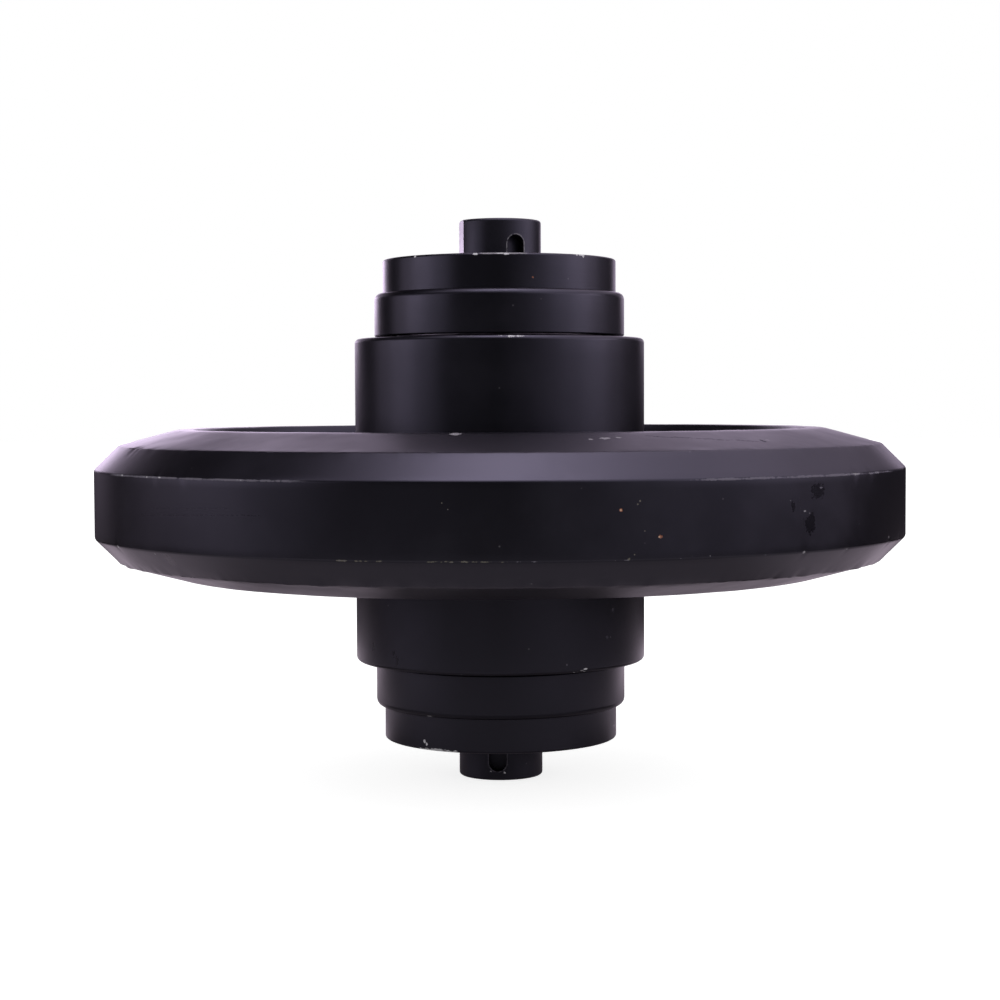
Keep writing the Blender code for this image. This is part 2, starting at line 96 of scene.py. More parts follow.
class Graph:
    """A node tree with short calls that add nodes and join their sockets."""

    def __init__(self, tree: Tree) -> None:
        """Keep the tree and count its nodes for their places."""
        self.tree = tree
        self.count = 0

    def add(self, kind: str, **settings: object) -> bpy.types.Node:
        """Add a node.

        Args:
            kind: The node's type name.
            settings: Property names and values to set.

        Returns:
            The new node.
        """
        node = self.tree.nodes.new(kind)
        node.location = (self.count // 6 * 190.0, -(self.count % 6) * 170.0)
        self.count += 1
        for name, value in settings.items():
            setattr(node, name, value)
        return node

    def feed(self, socket: Socket, value: Value) -> None:
        """Join a socket to another one, or write a constant into it."""
        if isinstance(value, Socket):
            self.tree.links.new(value, socket)
        else:
            socket.default_value = value

    def math(self, operation: str, first: Value, second: Value = 0.0) -> Socket:
        """Work out one arithmetic step on two numbers."""
        node = self.add("ShaderNodeMath", operation=operation)
        self.feed(node.inputs[0], first)
        self.feed(node.inputs[1], second)
        return node.outputs[0]

    def times(self, first: Value, second: Value) -> Socket:
        """Multiply two numbers."""
        return self.math("MULTIPLY", first, second)

    def plus(self, first: Value, second: Value) -> Socket:
        """Add two numbers."""
        return self.math("ADD", first, second)

    def minus(self, first: Value, second: Value) -> Socket:
        """Take the second number from the first."""
        return self.math("SUBTRACT", first, second)

    def gap(self, first: Value, second: Value) -> Socket:
        """Tell how far apart two numbers lie."""
        return self.math("ABSOLUTE", self.minus(first, second))

    def combine(self, first: Value, second: Value = 0.0, third: Value = 0.0) -> Socket:
        """Make a vector of three numbers."""
        node = self.add("ShaderNodeCombineXYZ")
        for socket, value in zip(node.inputs, (first, second, third)):
            self.feed(socket, value)
        return node.outputs[0]

    def separate(self, vector: Value) -> tuple[Socket, ...]:
        """Split a vector into three numbers."""
        node = self.add("ShaderNodeSeparateXYZ")
        self.feed(node.inputs[0], vector)
        return tuple(node.outputs)

    def shift(self, vector: Value, offset: Value) -> Socket:
        """Add one vector to another."""
        node = self.add("ShaderNodeVectorMath", operation="ADD")
        self.feed(node.inputs[0], vector)
        self.feed(node.inputs[1], offset)
        return node.outputs[0]

    def mix(self, factor: Value, first: Value, second: Value) -> Socket:
        """Blend two colours."""
        node = self.add("ShaderNodeMix", data_type="RGBA", clamp_factor=True)
        self.feed(node.inputs[0], factor)
        self.feed(node.inputs[6], first)
        self.feed(node.inputs[7], second)
        return node.outputs[2]

    def blend(self, factor: Value, first: Value, second: Value) -> Socket:
        """Blend two numbers."""
        node = self.add("ShaderNodeMix", data_type="FLOAT", clamp_factor=True)
        self.feed(node.inputs[0], factor)
        self.feed(node.inputs[2], first)
        self.feed(node.inputs[3], second)
        return node.outputs[0]

    def noise(self, place: Value, scale: Value, detail: float = 3.0, roughness: float = 0.5) -> Socket:
        """Read smooth noise between 0 and 1 at a place."""
        node = self.add("ShaderNodeTexNoise")
        self.feed(node.inputs["Vector"], place)
        self.feed(node.inputs["Scale"], scale)
        node.inputs["Detail"].default_value = detail
        node.inputs["Roughness"].default_value = roughness
        return node.outputs["Fac"]

    def step(self, value: Value, low: Value, high: Value) -> Socket:
        """Rise softly from 0 at low to 1 at high; low may be the larger."""
        node = self.add("ShaderNodeMapRange", interpolation_type="SMOOTHSTEP")
        self.feed(node.inputs["Value"], value)
        self.feed(node.inputs["From Min"], low)
        self.feed(node.inputs["From Max"], high)
        return node.outputs["Result"]

    def place(self) -> Socket:
        """Read the point on the piece, in the frame's metres."""
        return self.add("ShaderNodeTexCoord").outputs["Object"]

    def group(self, tree: Tree, **values: Value) -> bpy.types.Node:
        """Place a shared group; each keyword is an input's name in lower case."""
        node = self.add("ShaderNodeGroup", node_tree=tree)
        for name, value in values.items():
            self.feed(node.inputs[name.replace("_", " ").capitalize()], value)
        return node

    def length(self, first: Value, second: Value) -> Socket:
        """Work out the length of a step of two parts."""
        return self.math("SQRT", self.plus(self.times(first, first), self.times(second, second)))

    def polar(self, place: Value) -> tuple[Socket, Socket, Socket]:
        """Read a point's distance from the axle's line, its turn from the front and its height."""
        across, depth, height = self.separate(place)
        return self.length(across, depth), self.math("ARCTAN2", across, self.times(depth, -1.0)), height


def start_group(
    name: str, inputs: Sequence[str], outputs: Sequence[str]
) -> tuple[Graph, dict[str, Socket], bpy.types.Node]:
    """Start a shared node group with number sockets.

    Args:
        name: The group's name.
        inputs: Names of its inputs.
        outputs: Names of its outputs.

    Returns:
        Its graph, its inputs by name and its output node.
    """
    tree = bpy.data.node_groups.new(name, "ShaderNodeTree")
    for label in inputs:
        tree.interface.new_socket(label, in_out="INPUT", socket_type="NodeSocketFloat")
    for label in outputs:
        tree.interface.new_socket(label, in_out="OUTPUT", socket_type="NodeSocketFloat")
    graph = Graph(tree)
    given = graph.add("NodeGroupInput")
    return graph, {label: given.outputs[label] for label in inputs}, graph.add("NodeGroupOutput")


MARK_PLACE = ("Radius", "Turn", "Height", "Coarse", "Fine")


class SharedEffects:
    """Node groups that several finishes use; those of the marks all start with the inputs of MARK_PLACE."""

    def __init__(self) -> None:
        """Build each group once."""
        self.skin = self.make_skin()
        self.edge_chips_and_highlights = self.make_edge_chips_and_highlights()
        self.speck = self.make_speck()
        self.scratch = self.make_scratch()
        self.turning = self.make_turning()
        self.slot_lip = self.make_slot_lip()

    @staticmethod
    def make_skin() -> Tree:
        """Make the sprayed surface: orange peel, slow clouds, dust nibs, and grain for chips.

        Returns:
            The group's tree.
        """
        outputs = ("Relief", "Cloud", "Nibs", "Coarse", "Fine")
        graph, given, result = start_group("sprayed_skin", ("Peel scale", "Seed"), outputs)
        place = graph.shift(graph.place(), graph.combine(given["Seed"], given["Seed"], given["Seed"]))
        peel = graph.noise(place, given["Peel scale"], 2.0, 0.45)
        waves = graph.noise(place, graph.times(given["Peel scale"], 0.14), 2.0)
        dots = graph.add("ShaderNodeTexVoronoi", feature="F1")
        graph.feed(dots.inputs["Vector"], place)
        dots.inputs["Scale"].default_value = 150.0
        near_dot = graph.step(dots.outputs["Distance"], 0.085, 0.03)
        some = graph.step(graph.separate(dots.outputs["Color"])[0], 0.86, 0.90)
        relief = graph.plus(graph.times(peel, 0.4), graph.times(waves, 0.6))
        graph.feed(result.inputs["Relief"], relief)
        graph.feed(result.inputs["Cloud"], graph.noise(place, 13.0, 5.0, 0.62))
        graph.feed(result.inputs["Nibs"], graph.times(near_dot, some))
        graph.feed(result.inputs["Coarse"], graph.noise(place, 95.0, 3.0, 0.6))
        graph.feed(result.inputs["Fine"], graph.noise(place, 620.0, 3.0, 0.65))
        return graph.tree

    @staticmethod
    def make_edge_chips_and_highlights() -> Tree:
        """Make chipped paint along a round edge, over all or part of its turn; at an amount near 1 the chips join into
        a continuous pale line that paints the edge's highlight.

        Returns:
            The group's tree.
        """
        names = MARK_PLACE + ("Edge radius", "Edge height", "Reach", "Amount", "Middle", "Spread")
        graph, given, result = start_group("edge_chips_and_highlights", names, ("Mask",))
        across = graph.minus(given["Radius"], given["Edge radius"])
        along = graph.minus(given["Height"], given["Edge height"])
        away = graph.math("DIVIDE", graph.length(across, along), given["Reach"])
        spots = graph.plus(graph.times(given["Coarse"], 0.6), graph.times(given["Fine"], 0.4))
        level = graph.minus(spots, graph.times(away, 0.16))
        limit = graph.minus(0.66, graph.times(given["Amount"], 0.36))
        # At an amount near 1 this mask becomes a continuous pale line, a painted highlight along the edge.
        chips = graph.step(level, limit, graph.plus(limit, 0.035))
        turned = graph.gap(given["Turn"], given["Middle"])
        sector = graph.step(turned, given["Spread"], graph.times(given["Spread"], 0.8))
        inside = graph.times(sector, graph.math("LESS_THAN", away, 1.0))
        graph.feed(result.inputs["Mask"], graph.times(chips, inside))
        return graph.tree

    @staticmethod
    def make_speck() -> Tree:
        """Make one small ragged spot on a round wall.

        Returns:
            The group's tree.
        """
        names = MARK_PLACE + ("Middle", "Level", "Size", "Stretch")
        graph, given, result = start_group("speck", names, ("Mask",))
        across = graph.times(graph.minus(given["Turn"], given["Middle"]), given["Radius"])
        across = graph.math("DIVIDE", across, given["Stretch"])
        along = graph.minus(given["Height"], given["Level"])
        away = graph.math("DIVIDE", graph.length(across, along), given["Size"])
        ragged = graph.plus(away, graph.times(graph.minus(given["Fine"], 0.5), 2.2))
        graph.feed(result.inputs["Mask"], graph.step(ragged, 1.0, 0.7))
        return graph.tree

    @staticmethod
    def make_scratch() -> Tree:
        """Make a thin broken line on a round wall.

        Returns:
            The group's tree.
        """
        names = MARK_PLACE + ("Start", "Length", "Level", "Rise", "Width")
        graph, given, result = start_group("scratch", names, ("Mask",))
        share = graph.math("DIVIDE", graph.minus(given["Turn"], given["Start"]), given["Length"])
        line = graph.plus(given["Level"], graph.times(share, given["Rise"]))
        wander = graph.times(graph.minus(given["Coarse"], 0.5), 0.0016)
        away = graph.math("ABSOLUTE", graph.plus(graph.minus(given["Height"], line), wander))
        thin = graph.step(away, given["Width"], graph.times(given["Width"], 0.35))
        ends = graph.times(graph.step(share, 0.0, 0.06), graph.step(share, 1.0, 0.9))
        broken = graph.step(given["Fine"], 0.36, 0.52)
        graph.feed(result.inputs["Mask"], graph.times(graph.times(thin, broken), ends))
        return graph.tree

    @staticmethod
    def make_turning() -> Tree:
        """Make fine rings left by a lathe tool.

        Returns:
            The group's tree.
        """
        graph, given, result = start_group("turning_marks", ("Pitch",), ("Relief",))
        radius, turn, height = graph.polar(graph.place())
        line = graph.math("DIVIDE", graph.plus(radius, height), given["Pitch"])
        rings = graph.noise(graph.combine(line, graph.times(turn, 0.5)), 1.0, 3.0, 0.6)
        graph.feed(result.inputs["Relief"], rings)
        return graph.tree

    @staticmethod
    def make_slot_lip() -> Tree:
        """Make a broken pale line along the lip of a slot that runs up a round wall to a round end.

        Returns:
            The group's tree.
        """
        names = MARK_PLACE + ("Wall", "Middle", "Half width", "Round middle", "Direction", "Width")
        graph, given, result = start_group("slot_lip", names, ("Mask",))
        off = graph.minus(given["Turn"], given["Middle"])
        across = graph.times(given["Radius"], graph.math("SINE", off))
        beyond = graph.times(graph.minus(given["Height"], given["Round middle"]), given["Direction"])
        reach = graph.length(across, graph.math("MAXIMUM", beyond, 0.0))
        away = graph.gap(reach, given["Half width"])
        line = graph.step(away, given["Width"], graph.times(given["Width"], 0.3))
        outside = graph.step(graph.minus(given["Wall"], given["Radius"]), 0.0009, 0.0004)
        facing = graph.math("GREATER_THAN", graph.math("COSINE", off), 0.5)
        same_end = graph.math("GREATER_THAN", graph.times(given["Height"], given["Direction"]), 0.0)
        broken_line = graph.times(graph.step(given["Fine"], 0.34, 0.56), graph.times(facing, same_end))
        graph.feed(result.inputs["Mask"], graph.times(graph.times(line, outside), broken_line))
        return graph.tree


EFFECTS = SharedEffects()


def start_surface(name: str) -> tuple[Graph, bpy.types.Node, Material]:
    """Start a material.

    Args:
        name: The material's name.

    Returns:
        Its graph, its shader node and the material.
    """
    material = bpy.data.materials.new(name)
    material.use_nodes = True
    return Graph(material.node_tree), material.node_tree.nodes["Principled BSDF"], material


def add_bump(graph: Graph, surface: bpy.types.Node, height: Value, distance: float) -> None:
    """Feed a height to the shader's normal."""
    bump = graph.add("ShaderNodeBump")
    bump.inputs["Distance"].default_value = distance
    graph.feed(bump.inputs["Height"], height)
    graph.feed(surface.inputs["Normal"], bump.outputs["Normal"])


# Finishes

STEEL_BRIGHT: Colour = (0.62, 0.60, 0.63, 1.0)
PRIMER_GREY: Colour = (0.24, 0.225, 0.24, 1.0)
# Rubbed enamel in chips and specks, and also the colour of the painted highlight lines on the tread's upper edge.
RUBBED_AND_HIGHLIGHT_GREY: Colour = (0.105, 0.095, 0.115, 1.0)
RUST: Colour = (0.23, 0.075, 0.028, 1.0)
RUST_HEART: Colour = (0.55, 0.33, 0.20, 1.0)
CLAY: Colour = (0.105, 0.095, 0.070, 1.0)
SCUFF_GREY: Colour = (0.035, 0.033, 0.040, 1.0)
DRIP_BLACK: Colour = (0.0015, 0.0013, 0.0018, 1.0)


WHITE: Colour = (1.0, 1.0, 1.0, 1.0)
BLACK: Colour = (0.0, 0.0, 0.0, 1.0)
CLOUD_LIMITS = (0.40, 0.72)
NIB_SHARE = 0.25
CHIP_ROUGHNESS = 0.6
CHIP_DEPTH = 0.5
SMEAR_ROUGHNESS = 0.12
SMEAR_SHARE = 0.4
ENAMEL_THICKNESS = 0.00012
ENAMEL_PITCH = 0.0007
ENAMEL_IOR = 1.475
ENAMEL_TINT: Colour = (0.83, 0.90, 1.0, 1.0)


@dataclass(frozen=True)
class EdgeWearAndHighlight:
    """Chips along one round edge, and at an amount near 1 a continuous pale line that paints the edge's highlight:
    sizes in metres, turns in degrees from the front, to the right.
    """

    effect: ClassVar[str] = "edge_chips_and_highlights"
    smear: ClassVar[bool] = False
    radius: float
    height: float
    amount: float = 0.35
    reach: float = 0.0012
    middle: float = 0.0
    spread: float = ALL_ROUND
    colour: Colour = PRIMER_GREY

    def values(self) -> dict[str, float]:
        """Give the mark group's own inputs."""
        return {
            "edge_radius": self.radius, "edge_height": self.height, "reach": self.reach, "amount": self.amount,
            "middle": math.radians(self.middle), "spread": math.radians(self.spread),
        }


@dataclass(frozen=True)
class Speck:
    """A spot on a round wall: a chip, or a smear of fresh enamel where smear is set."""

    effect: ClassVar[str] = "speck"
    turn: float
    height: float
    size: float
    colour: Colour = STEEL_BRIGHT
    stretch: float = 1.0
    smear: bool = False

    def values(self) -> dict[str, float]:
        """Give the mark group's own inputs."""
        return {"middle": math.radians(self.turn), "level": self.height, "size": self.size, "stretch": self.stretch}


@dataclass(frozen=True)
class Scratch:
    """A thin line that starts at a turn, runs round over a length in degrees and rises on the way."""

    effect: ClassVar[str] = "scratch"
    turn: float
    height: float
    length: float
    rise: float = 0.0
    width: float = 0.0003
    colour: Colour = PRIMER_GREY
    smear: bool = False

    def values(self) -> dict[str, float]:
        """Give the mark group's own inputs."""
        return {
            "start": math.radians(self.turn), "length": math.radians(self.length), "level": self.height,
            "rise": self.rise, "width": self.width,
        }


@dataclass(frozen=True)
class SlotLip:
    """A broken pale line along the lip of a slot in a round wall; the sign of round_middle says to which end the slot
    runs.
    """

    effect: ClassVar[str] = "slot_lip"
    wall: float
    turn: float
    half_width: float
    round_middle: float
    width: float
    colour: Colour

    def values(self) -> dict[str, float]:
        """Give the mark group's own inputs."""
        return {
            "wall": self.wall, "middle": math.radians(self.turn), "half_width": self.half_width,
            "round_middle": self.round_middle, "direction": math.copysign(1.0, self.round_middle), "width": self.width,
        }


@dataclass(frozen=True)
class Enamel:
    """Black satin enamel over steel, with its chips, scratches and spots, and continuous pale edge lines that paint
    highlights.
    """

    colour: Colour = (0.0040, 0.0035, 0.0052, 1.0)
    haze: Colour = (0.0075, 0.0068, 0.0095, 1.0)
    roughness: float = 0.29
    swing: float = 0.10
    peel: float = 0.10
    peel_scale: float = 420.0
    turning: float = 0.0
    seed: float = 0.0
    wear_and_highlights: tuple[EdgeWearAndHighlight, ...] = ()
    specks: tuple[Speck, ...] = ()
    scratches: tuple[Scratch, ...] = ()
    lips: tuple[SlotLip, ...] = ()

    def material(self, name: str) -> Material:
        """Build the finish.

        Args:
            name: The material's name.

        Returns:
            The material.
        """
        graph, surface, material = start_surface(name)
        skin = graph.group(EFFECTS.skin, peel_scale=self.peel_scale, seed=self.seed).outputs
        radius, turn, height = graph.polar(graph.place())
        where = {"radius": radius, "turn": turn, "height": height, "coarse": skin["Coarse"], "fine": skin["Fine"]}
        cloud = graph.step(skin["Cloud"], *CLOUD_LIMITS)
        colour = graph.mix(cloud, self.colour, self.haze)
        colour = graph.mix(graph.times(skin["Nibs"], NIB_SHARE), colour, PRIMER_GREY)
        masks: dict[bool, Value] = {False: 0.0, True: 0.0}
        for mark in (*self.wear_and_highlights, *self.scratches, *self.specks, *self.lips):
            mask = graph.group(getattr(EFFECTS, mark.effect), **where, **mark.values()).outputs[0]
            colour = graph.mix(mask, colour, mark.colour)
            if mark not in self.lips:
                masks[mark.smear] = graph.math("MAXIMUM", masks[mark.smear], mask)
        # The first mask also holds the continuous edge lines that paint highlights, so they take the chips' roughness
        # and relief too.
        chipped, smeared = masks[False], masks[True]
        graph.feed(surface.inputs["Base Color"], colour)
        satin = graph.plus(graph.times(cloud, self.swing), self.roughness)
        satin = graph.blend(graph.times(smeared, SMEAR_SHARE), satin, SMEAR_ROUGHNESS)
        graph.feed(surface.inputs["Roughness"], graph.blend(chipped, satin, CHIP_ROUGHNESS))
        relief = graph.minus(graph.times(skin["Relief"], self.peel), graph.times(chipped, CHIP_DEPTH))
        if self.turning > 0.0:
            rings = graph.group(EFFECTS.turning, pitch=ENAMEL_PITCH).outputs[0]
            relief = graph.plus(relief, graph.times(rings, self.turning))
        add_bump(graph, surface, relief, ENAMEL_THICKNESS)
        surface.inputs["IOR"].default_value = ENAMEL_IOR
        surface.inputs["Specular Tint"].default_value = ENAMEL_TINT
        return material


@dataclass(frozen=True)
class BareMetal:
    """Turned or ground metal with tool rings and light stains."""

    colour: Colour
    stain: Colour
    roughness: float
    pitch: float = 0.0005

    def material(self, name: str) -> Material:
        """Build the finish.

        Args:
            name: The material's name.

        Returns:
            The material.
        """
        graph, surface, material = start_surface(name)
        rings = graph.group(EFFECTS.turning, pitch=self.pitch).outputs[0]
        skin = graph.group(EFFECTS.skin, peel_scale=900.0, seed=3.0).outputs
        cloud = graph.step(skin["Cloud"], *CLOUD_LIMITS)
        graph.feed(surface.inputs["Base Color"], graph.mix(cloud, self.colour, self.stain))
        surface.inputs["Metallic"].default_value = 1.0
        swing = graph.times(graph.minus(rings, 0.5), 0.14)
        rough = graph.plus(graph.times(cloud, 0.12), swing)
        graph.feed(surface.inputs["Roughness"], graph.plus(rough, self.roughness))
        add_bump(graph, surface, rings, 0.00003)
        return material


@dataclass(frozen=True)
class Rubber:
    """Matt seal rubber with a faint bloom."""

    colour: Colour = (0.018, 0.018, 0.019, 1.0)
    bloom: Colour = (0.045, 0.044, 0.043, 1.0)
    roughness: float = 0.55

    def material(self, name: str) -> Material:
        """Build the finish.

        Args:
            name: The material's name.

        Returns:
            The material.
        """
        graph, surface, material = start_surface(name)
        skin = graph.group(EFFECTS.skin, peel_scale=1500.0, seed=9.0).outputs
        cloud = graph.step(skin["Cloud"], 0.45, 0.75)
        graph.feed(surface.inputs["Base Color"], graph.mix(cloud, self.colour, self.bloom))
        graph.feed(surface.inputs["Roughness"], graph.plus(graph.times(cloud, 0.2), self.roughness))
        add_bump(graph, surface, skin["Relief"], 0.00004)
        return material


# Modelling


@dataclass(frozen=True)
class Corner:
    """A corner of a turned outline; soften is how far from it the rounding starts."""

    radius: float
    height: float
    soften: float = 0.0

    @property
    def point(self) -> Vector:
        """The corner's place before it is turned."""
        return Vector((self.radius, 0.0, self.height))

    def at(self, side: Side) -> "Corner":
        """Give the same corner on one side of the wheel."""
        return Corner(self.radius, self.height * side.value, self.soften)


def on_side(outline: Sequence[Corner], side: Side) -> list[Corner]:
    """Give an outline on one side of the wheel."""
    return [corner.at(side) for corner in outline]


def both_sides(half: Sequence[Corner]) -> list[Corner]:
    """Give the upper half of an outline followed by its mirror image."""
    return list(half) + on_side(half[::-1], Side.LOWER)


def rest() -> None:
    """Leave edit mode and deselect everything."""
    if bpy.context.mode != "OBJECT":
        bpy.ops.object.mode_set(mode="OBJECT")
    bpy.ops.object.select_all(action="DESELECT")


def grab(piece: Piece) -> None:
    """Make a piece the only selected one, and the active one."""
    rest()
    piece.select_set(True)
    bpy.context.view_layer.objects.active = piece


def pick_points(piece: Piece, test: Test) -> None:
    """Select, in edit mode, the points whose place passes a test."""
    bpy.ops.mesh.select_mode(type="VERT")
    bpy.ops.mesh.select_all(action="DESELECT")
    shape = bmesh.from_edit_mesh(piece.data)
    for point in shape.verts:
        point.select_set(test(point.co))
    bmesh.update_edit_mesh(piece.data)


def pick_edges(piece: Piece, test: Callable[[bmesh.types.BMEdge], bool]) -> bool:
    """Select, in edit mode, the edges that pass a test, and say whether there are any."""
    bpy.ops.mesh.select_mode(type="EDGE")
    bpy.ops.mesh.select_all(action="DESELECT")
    shape = bmesh.from_edit_mesh(piece.data)
    picked = [edge for edge in shape.edges if test(edge)]
    for edge in picked:
        edge.select_set(True)
    bmesh.update_edit_mesh(piece.data)
    return bool(picked)


def draw_outline(name: str, corners: Sequence[Corner], closed: bool) -> Piece:
    """Draw a turned piece's outline and leave it in edit mode.

    Args:
        name: The piece's name.
        corners: The outline's corners in order.
        closed: Whether the last corner joins the first.

    Returns:
        The piece.
    """
    rest()
    bpy.ops.mesh.primitive_plane_add(size=0.001)
    piece = bpy.context.active_object
    piece.name = piece.data.name = name
    bpy.ops.object.mode_set(mode="EDIT")
    bpy.ops.mesh.select_all(action="SELECT")
    bpy.ops.mesh.merge(type="CENTER")
    bpy.ops.transform.translate(value=corners[0].point)
    for before, after in zip(corners, corners[1:]):
        bpy.ops.mesh.extrude_region_move(TRANSFORM_OT_translate={"value": after.point - before.point})
    if closed:
        ends = (corners[0].point, corners[-1].point)
        pick_points(piece, lambda place: any((place - end).length < NEAR for end in ends))
        bpy.ops.mesh.edge_face_add()
    return piece


def soften_corners(piece: Piece, corners: Sequence[Corner], steps: int) -> None:
    """Round the outline's corners that ask for it."""
    for soften in sorted({corner.soften for corner in corners if corner.soften > 0.0}):
        spots = [corner.point for corner in corners if corner.soften == soften]
        pick_points(piece, lambda place: any((place - spot).length < NEAR for spot in spots))
        bpy.ops.mesh.bevel(
            offset_type="OFFSET", offset=soften, segments=steps, profile=0.5, affect="VERTICES", clamp_overlap=True
        )


def divide_long_edges(piece: Piece, longest: float) -> None:
    """Add points on the outline's edges until none is longer than allowed."""

    def cuts_for(edge: bmesh.types.BMEdge) -> int:
        """Count the cuts that an edge needs."""
        return math.ceil(edge.calc_length() / longest - 0.001) - 1

    wanted = {cuts_for(edge) for edge in bmesh.from_edit_mesh(piece.data).edges}
    for cuts in sorted(wanted, reverse=True):
        if cuts > 0 and pick_edges(piece, lambda edge: cuts_for(edge) == cuts):
            bpy.ops.mesh.subdivide(number_cuts=cuts)


def turn_piece(
    name: str,
    corners: Sequence[Corner],
    segments: int = 192,
    longest: float = 0.02,
    closed: bool = True,
    steps: int = 3,
) -> Piece:
    """Turn an outline about the axle's line.

    Args:
        name: The piece's name.
        corners: The outline's corners in order.
        segments: How many faces go round.
        longest: The longest edge that the outline keeps, in metres.
        closed: Whether the outline is a loop off the axle's line.
        steps: Faces in a rounded corner.

    Returns:
        The piece, in object mode.
    """
    piece = draw_outline(name, corners, closed)
    soften_corners(piece, corners, steps)
    divide_long_edges(piece, longest)
    bpy.ops.mesh.select_mode(type="VERT")
    bpy.ops.mesh.select_all(action="SELECT")
    bpy.ops.mesh.spin(
        steps=segments, angle=2.0 * math.pi, use_auto_merge=True, center=(0.0, 0.0, 0.0), axis=(0.0, 0.0, 1.0)
    )
    bpy.ops.mesh.select_all(action="SELECT")
    bpy.ops.mesh.remove_doubles(threshold=1e-6)
    bpy.ops.mesh.normals_make_consistent(inside=False)
    rest()
    return piece


def apply_step(piece: Piece, kind: str, **settings: object) -> None:
    """Add a modifier to a piece, set it and apply it."""
    grab(piece)
    step = piece.modifiers.new(kind.lower(), kind)
    for name, value in settings.items():
        setattr(step, name, value)
    bpy.ops.object.modifier_apply(modifier=step.name)


def cut_out(piece: Piece, cutter: Piece) -> None:
    """Take a cutter's shape out of a piece and remove the cutter."""
    apply_step(piece, "BOOLEAN", operation="DIFFERENCE", solver="EXACT", object=cutter)
    mesh = cutter.data
    bpy.data.objects.remove(cutter, do_unlink=True)
    bpy.data.meshes.remove(mesh)


def press(piece: Piece, weight: Weight, depth: float, grain: Optional[float] = None) -> None:
    """Push a piece's surface in or out along its normals.

    Args:
        piece: The piece, in object mode.
        weight: Gives 0 to 1 from a point's distance from the axle's line, its turn in degrees and its height.
        depth: How far the surface moves at weight 1; with grain, how far apart its highs and lows lie.
        grain: Size of the noise that the move follows, or None for an even move.
    """
    group = piece.vertex_groups.new(name="pressed")
    for point in piece.data.vertices:
        across, far, height = point.co
        share = weight(math.hypot(across, far), math.degrees(math.atan2(across, -far)), height)
        if share > 0.0:
            group.add([point.index], min(share, 1.0), "REPLACE")
    settings: dict[str, object] = {"vertex_group": group.name, "strength": depth, "mid_level": 0.0}
    if grain is not None:
        texture = bpy.data.textures.new("press_grain", "CLOUDS")
        texture.noise_scale = grain
        texture.noise_depth = 2
        settings.update(texture=texture, texture_coords="LOCAL", mid_level=0.5)
    apply_step(piece, "DISPLACE", **settings)
    piece.vertex_groups.clear()


def fade(distance: float, reach: float) -> float:
    """Fall smoothly from 1 at no distance to 0 at reach."""
    share = max(0.0, 1.0 - abs(distance) / reach)
    return share * share * (3.0 - 2.0 * share)


def smooth(piece: Piece, angle: float = 32.0, weighted: bool = True) -> Piece:
    """Shade a piece smooth up to an angle in degrees, with its wide faces kept flat."""
    grab(piece)
    bpy.ops.object.shade_smooth_by_angle(angle=math.radians(angle))
    if weighted:
        apply_step(piece, "WEIGHTED_NORMAL", keep_sharp=True, weight=60)
    rest()
    return piece


def finish_piece(
    piece: Piece, finish: Material, body: str, node: str
) -> Piece:
    """Dress a piece and tie it to the frame.

    Args:
        piece: The piece, with its place in its mesh.
        finish: Its material.
        body: The body that it moves with.
        node: The CAD node that it stands for.

    Returns:
        The piece.
    """
    piece.data.materials.clear()
    piece.data.materials.append(finish)
    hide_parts(node)
    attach(piece, body)
    log.info("%s: %d faces, for %s", piece.name, len(piece.data.polygons), node)
    return piece


def block(name: str, low: Sequence[float], high: Sequence[float]) -> Piece:
    """Add a box between two corners and leave it in edit mode."""
    rest()
    bpy.ops.mesh.primitive_cube_add(size=1.0)
    piece = bpy.context.active_object
    piece.name = name
    bpy.ops.object.mode_set(mode="EDIT")
    bpy.ops.transform.resize(value=[far - near for near, far in zip(low, high)])
    bpy.ops.transform.translate(value=[(far + near) / 2.0 for near, far in zip(low, high)])
    return piece


def swing_round(piece: Piece, turn: float) -> None:
    """Turn a cutter's points about the axle's line, by degrees from the front to the right."""
    rest()
    piece.data.transform(Matrix.Rotation(math.radians(turn), 4, "Z"))


def radial_rod(name: str, radius: float, inner: float, outer: float, height: float, soften: float = 0.0) -> Piece:
    """Turn a rod and lay it along +Y at a height.

    Args:
        name: Its name.
        radius: Its radius.
        inner: Where it starts, from the axle's line.
        outer: Where it ends.
        height: Its height.
        soften: Rounding of its ends.

    Returns:
        The rod, in object mode.
    """
    ends = [Corner(0.0, inner), Corner(radius, inner, soften), Corner(radius, outer, soften), Corner(0.0, outer)]
    rod = turn_piece(name, ends, 48, closed=False)
    rod.data.transform(Matrix.Translation((0.0, 0.0, height)) @ Matrix.Rotation(math.radians(-90.0), 4, "X"))
    return rod


def round_section(middle: float, height: float, reach: float, count: int) -> list[Corner]:
    """Give the outline of a rubber ring of round section."""
    turns = [2.0 * math.pi * step / count for step in range(count)]
    return [Corner(middle + reach * math.cos(turn), height + reach * math.sin(turn)) for turn in turns]


# Sub-assemblies


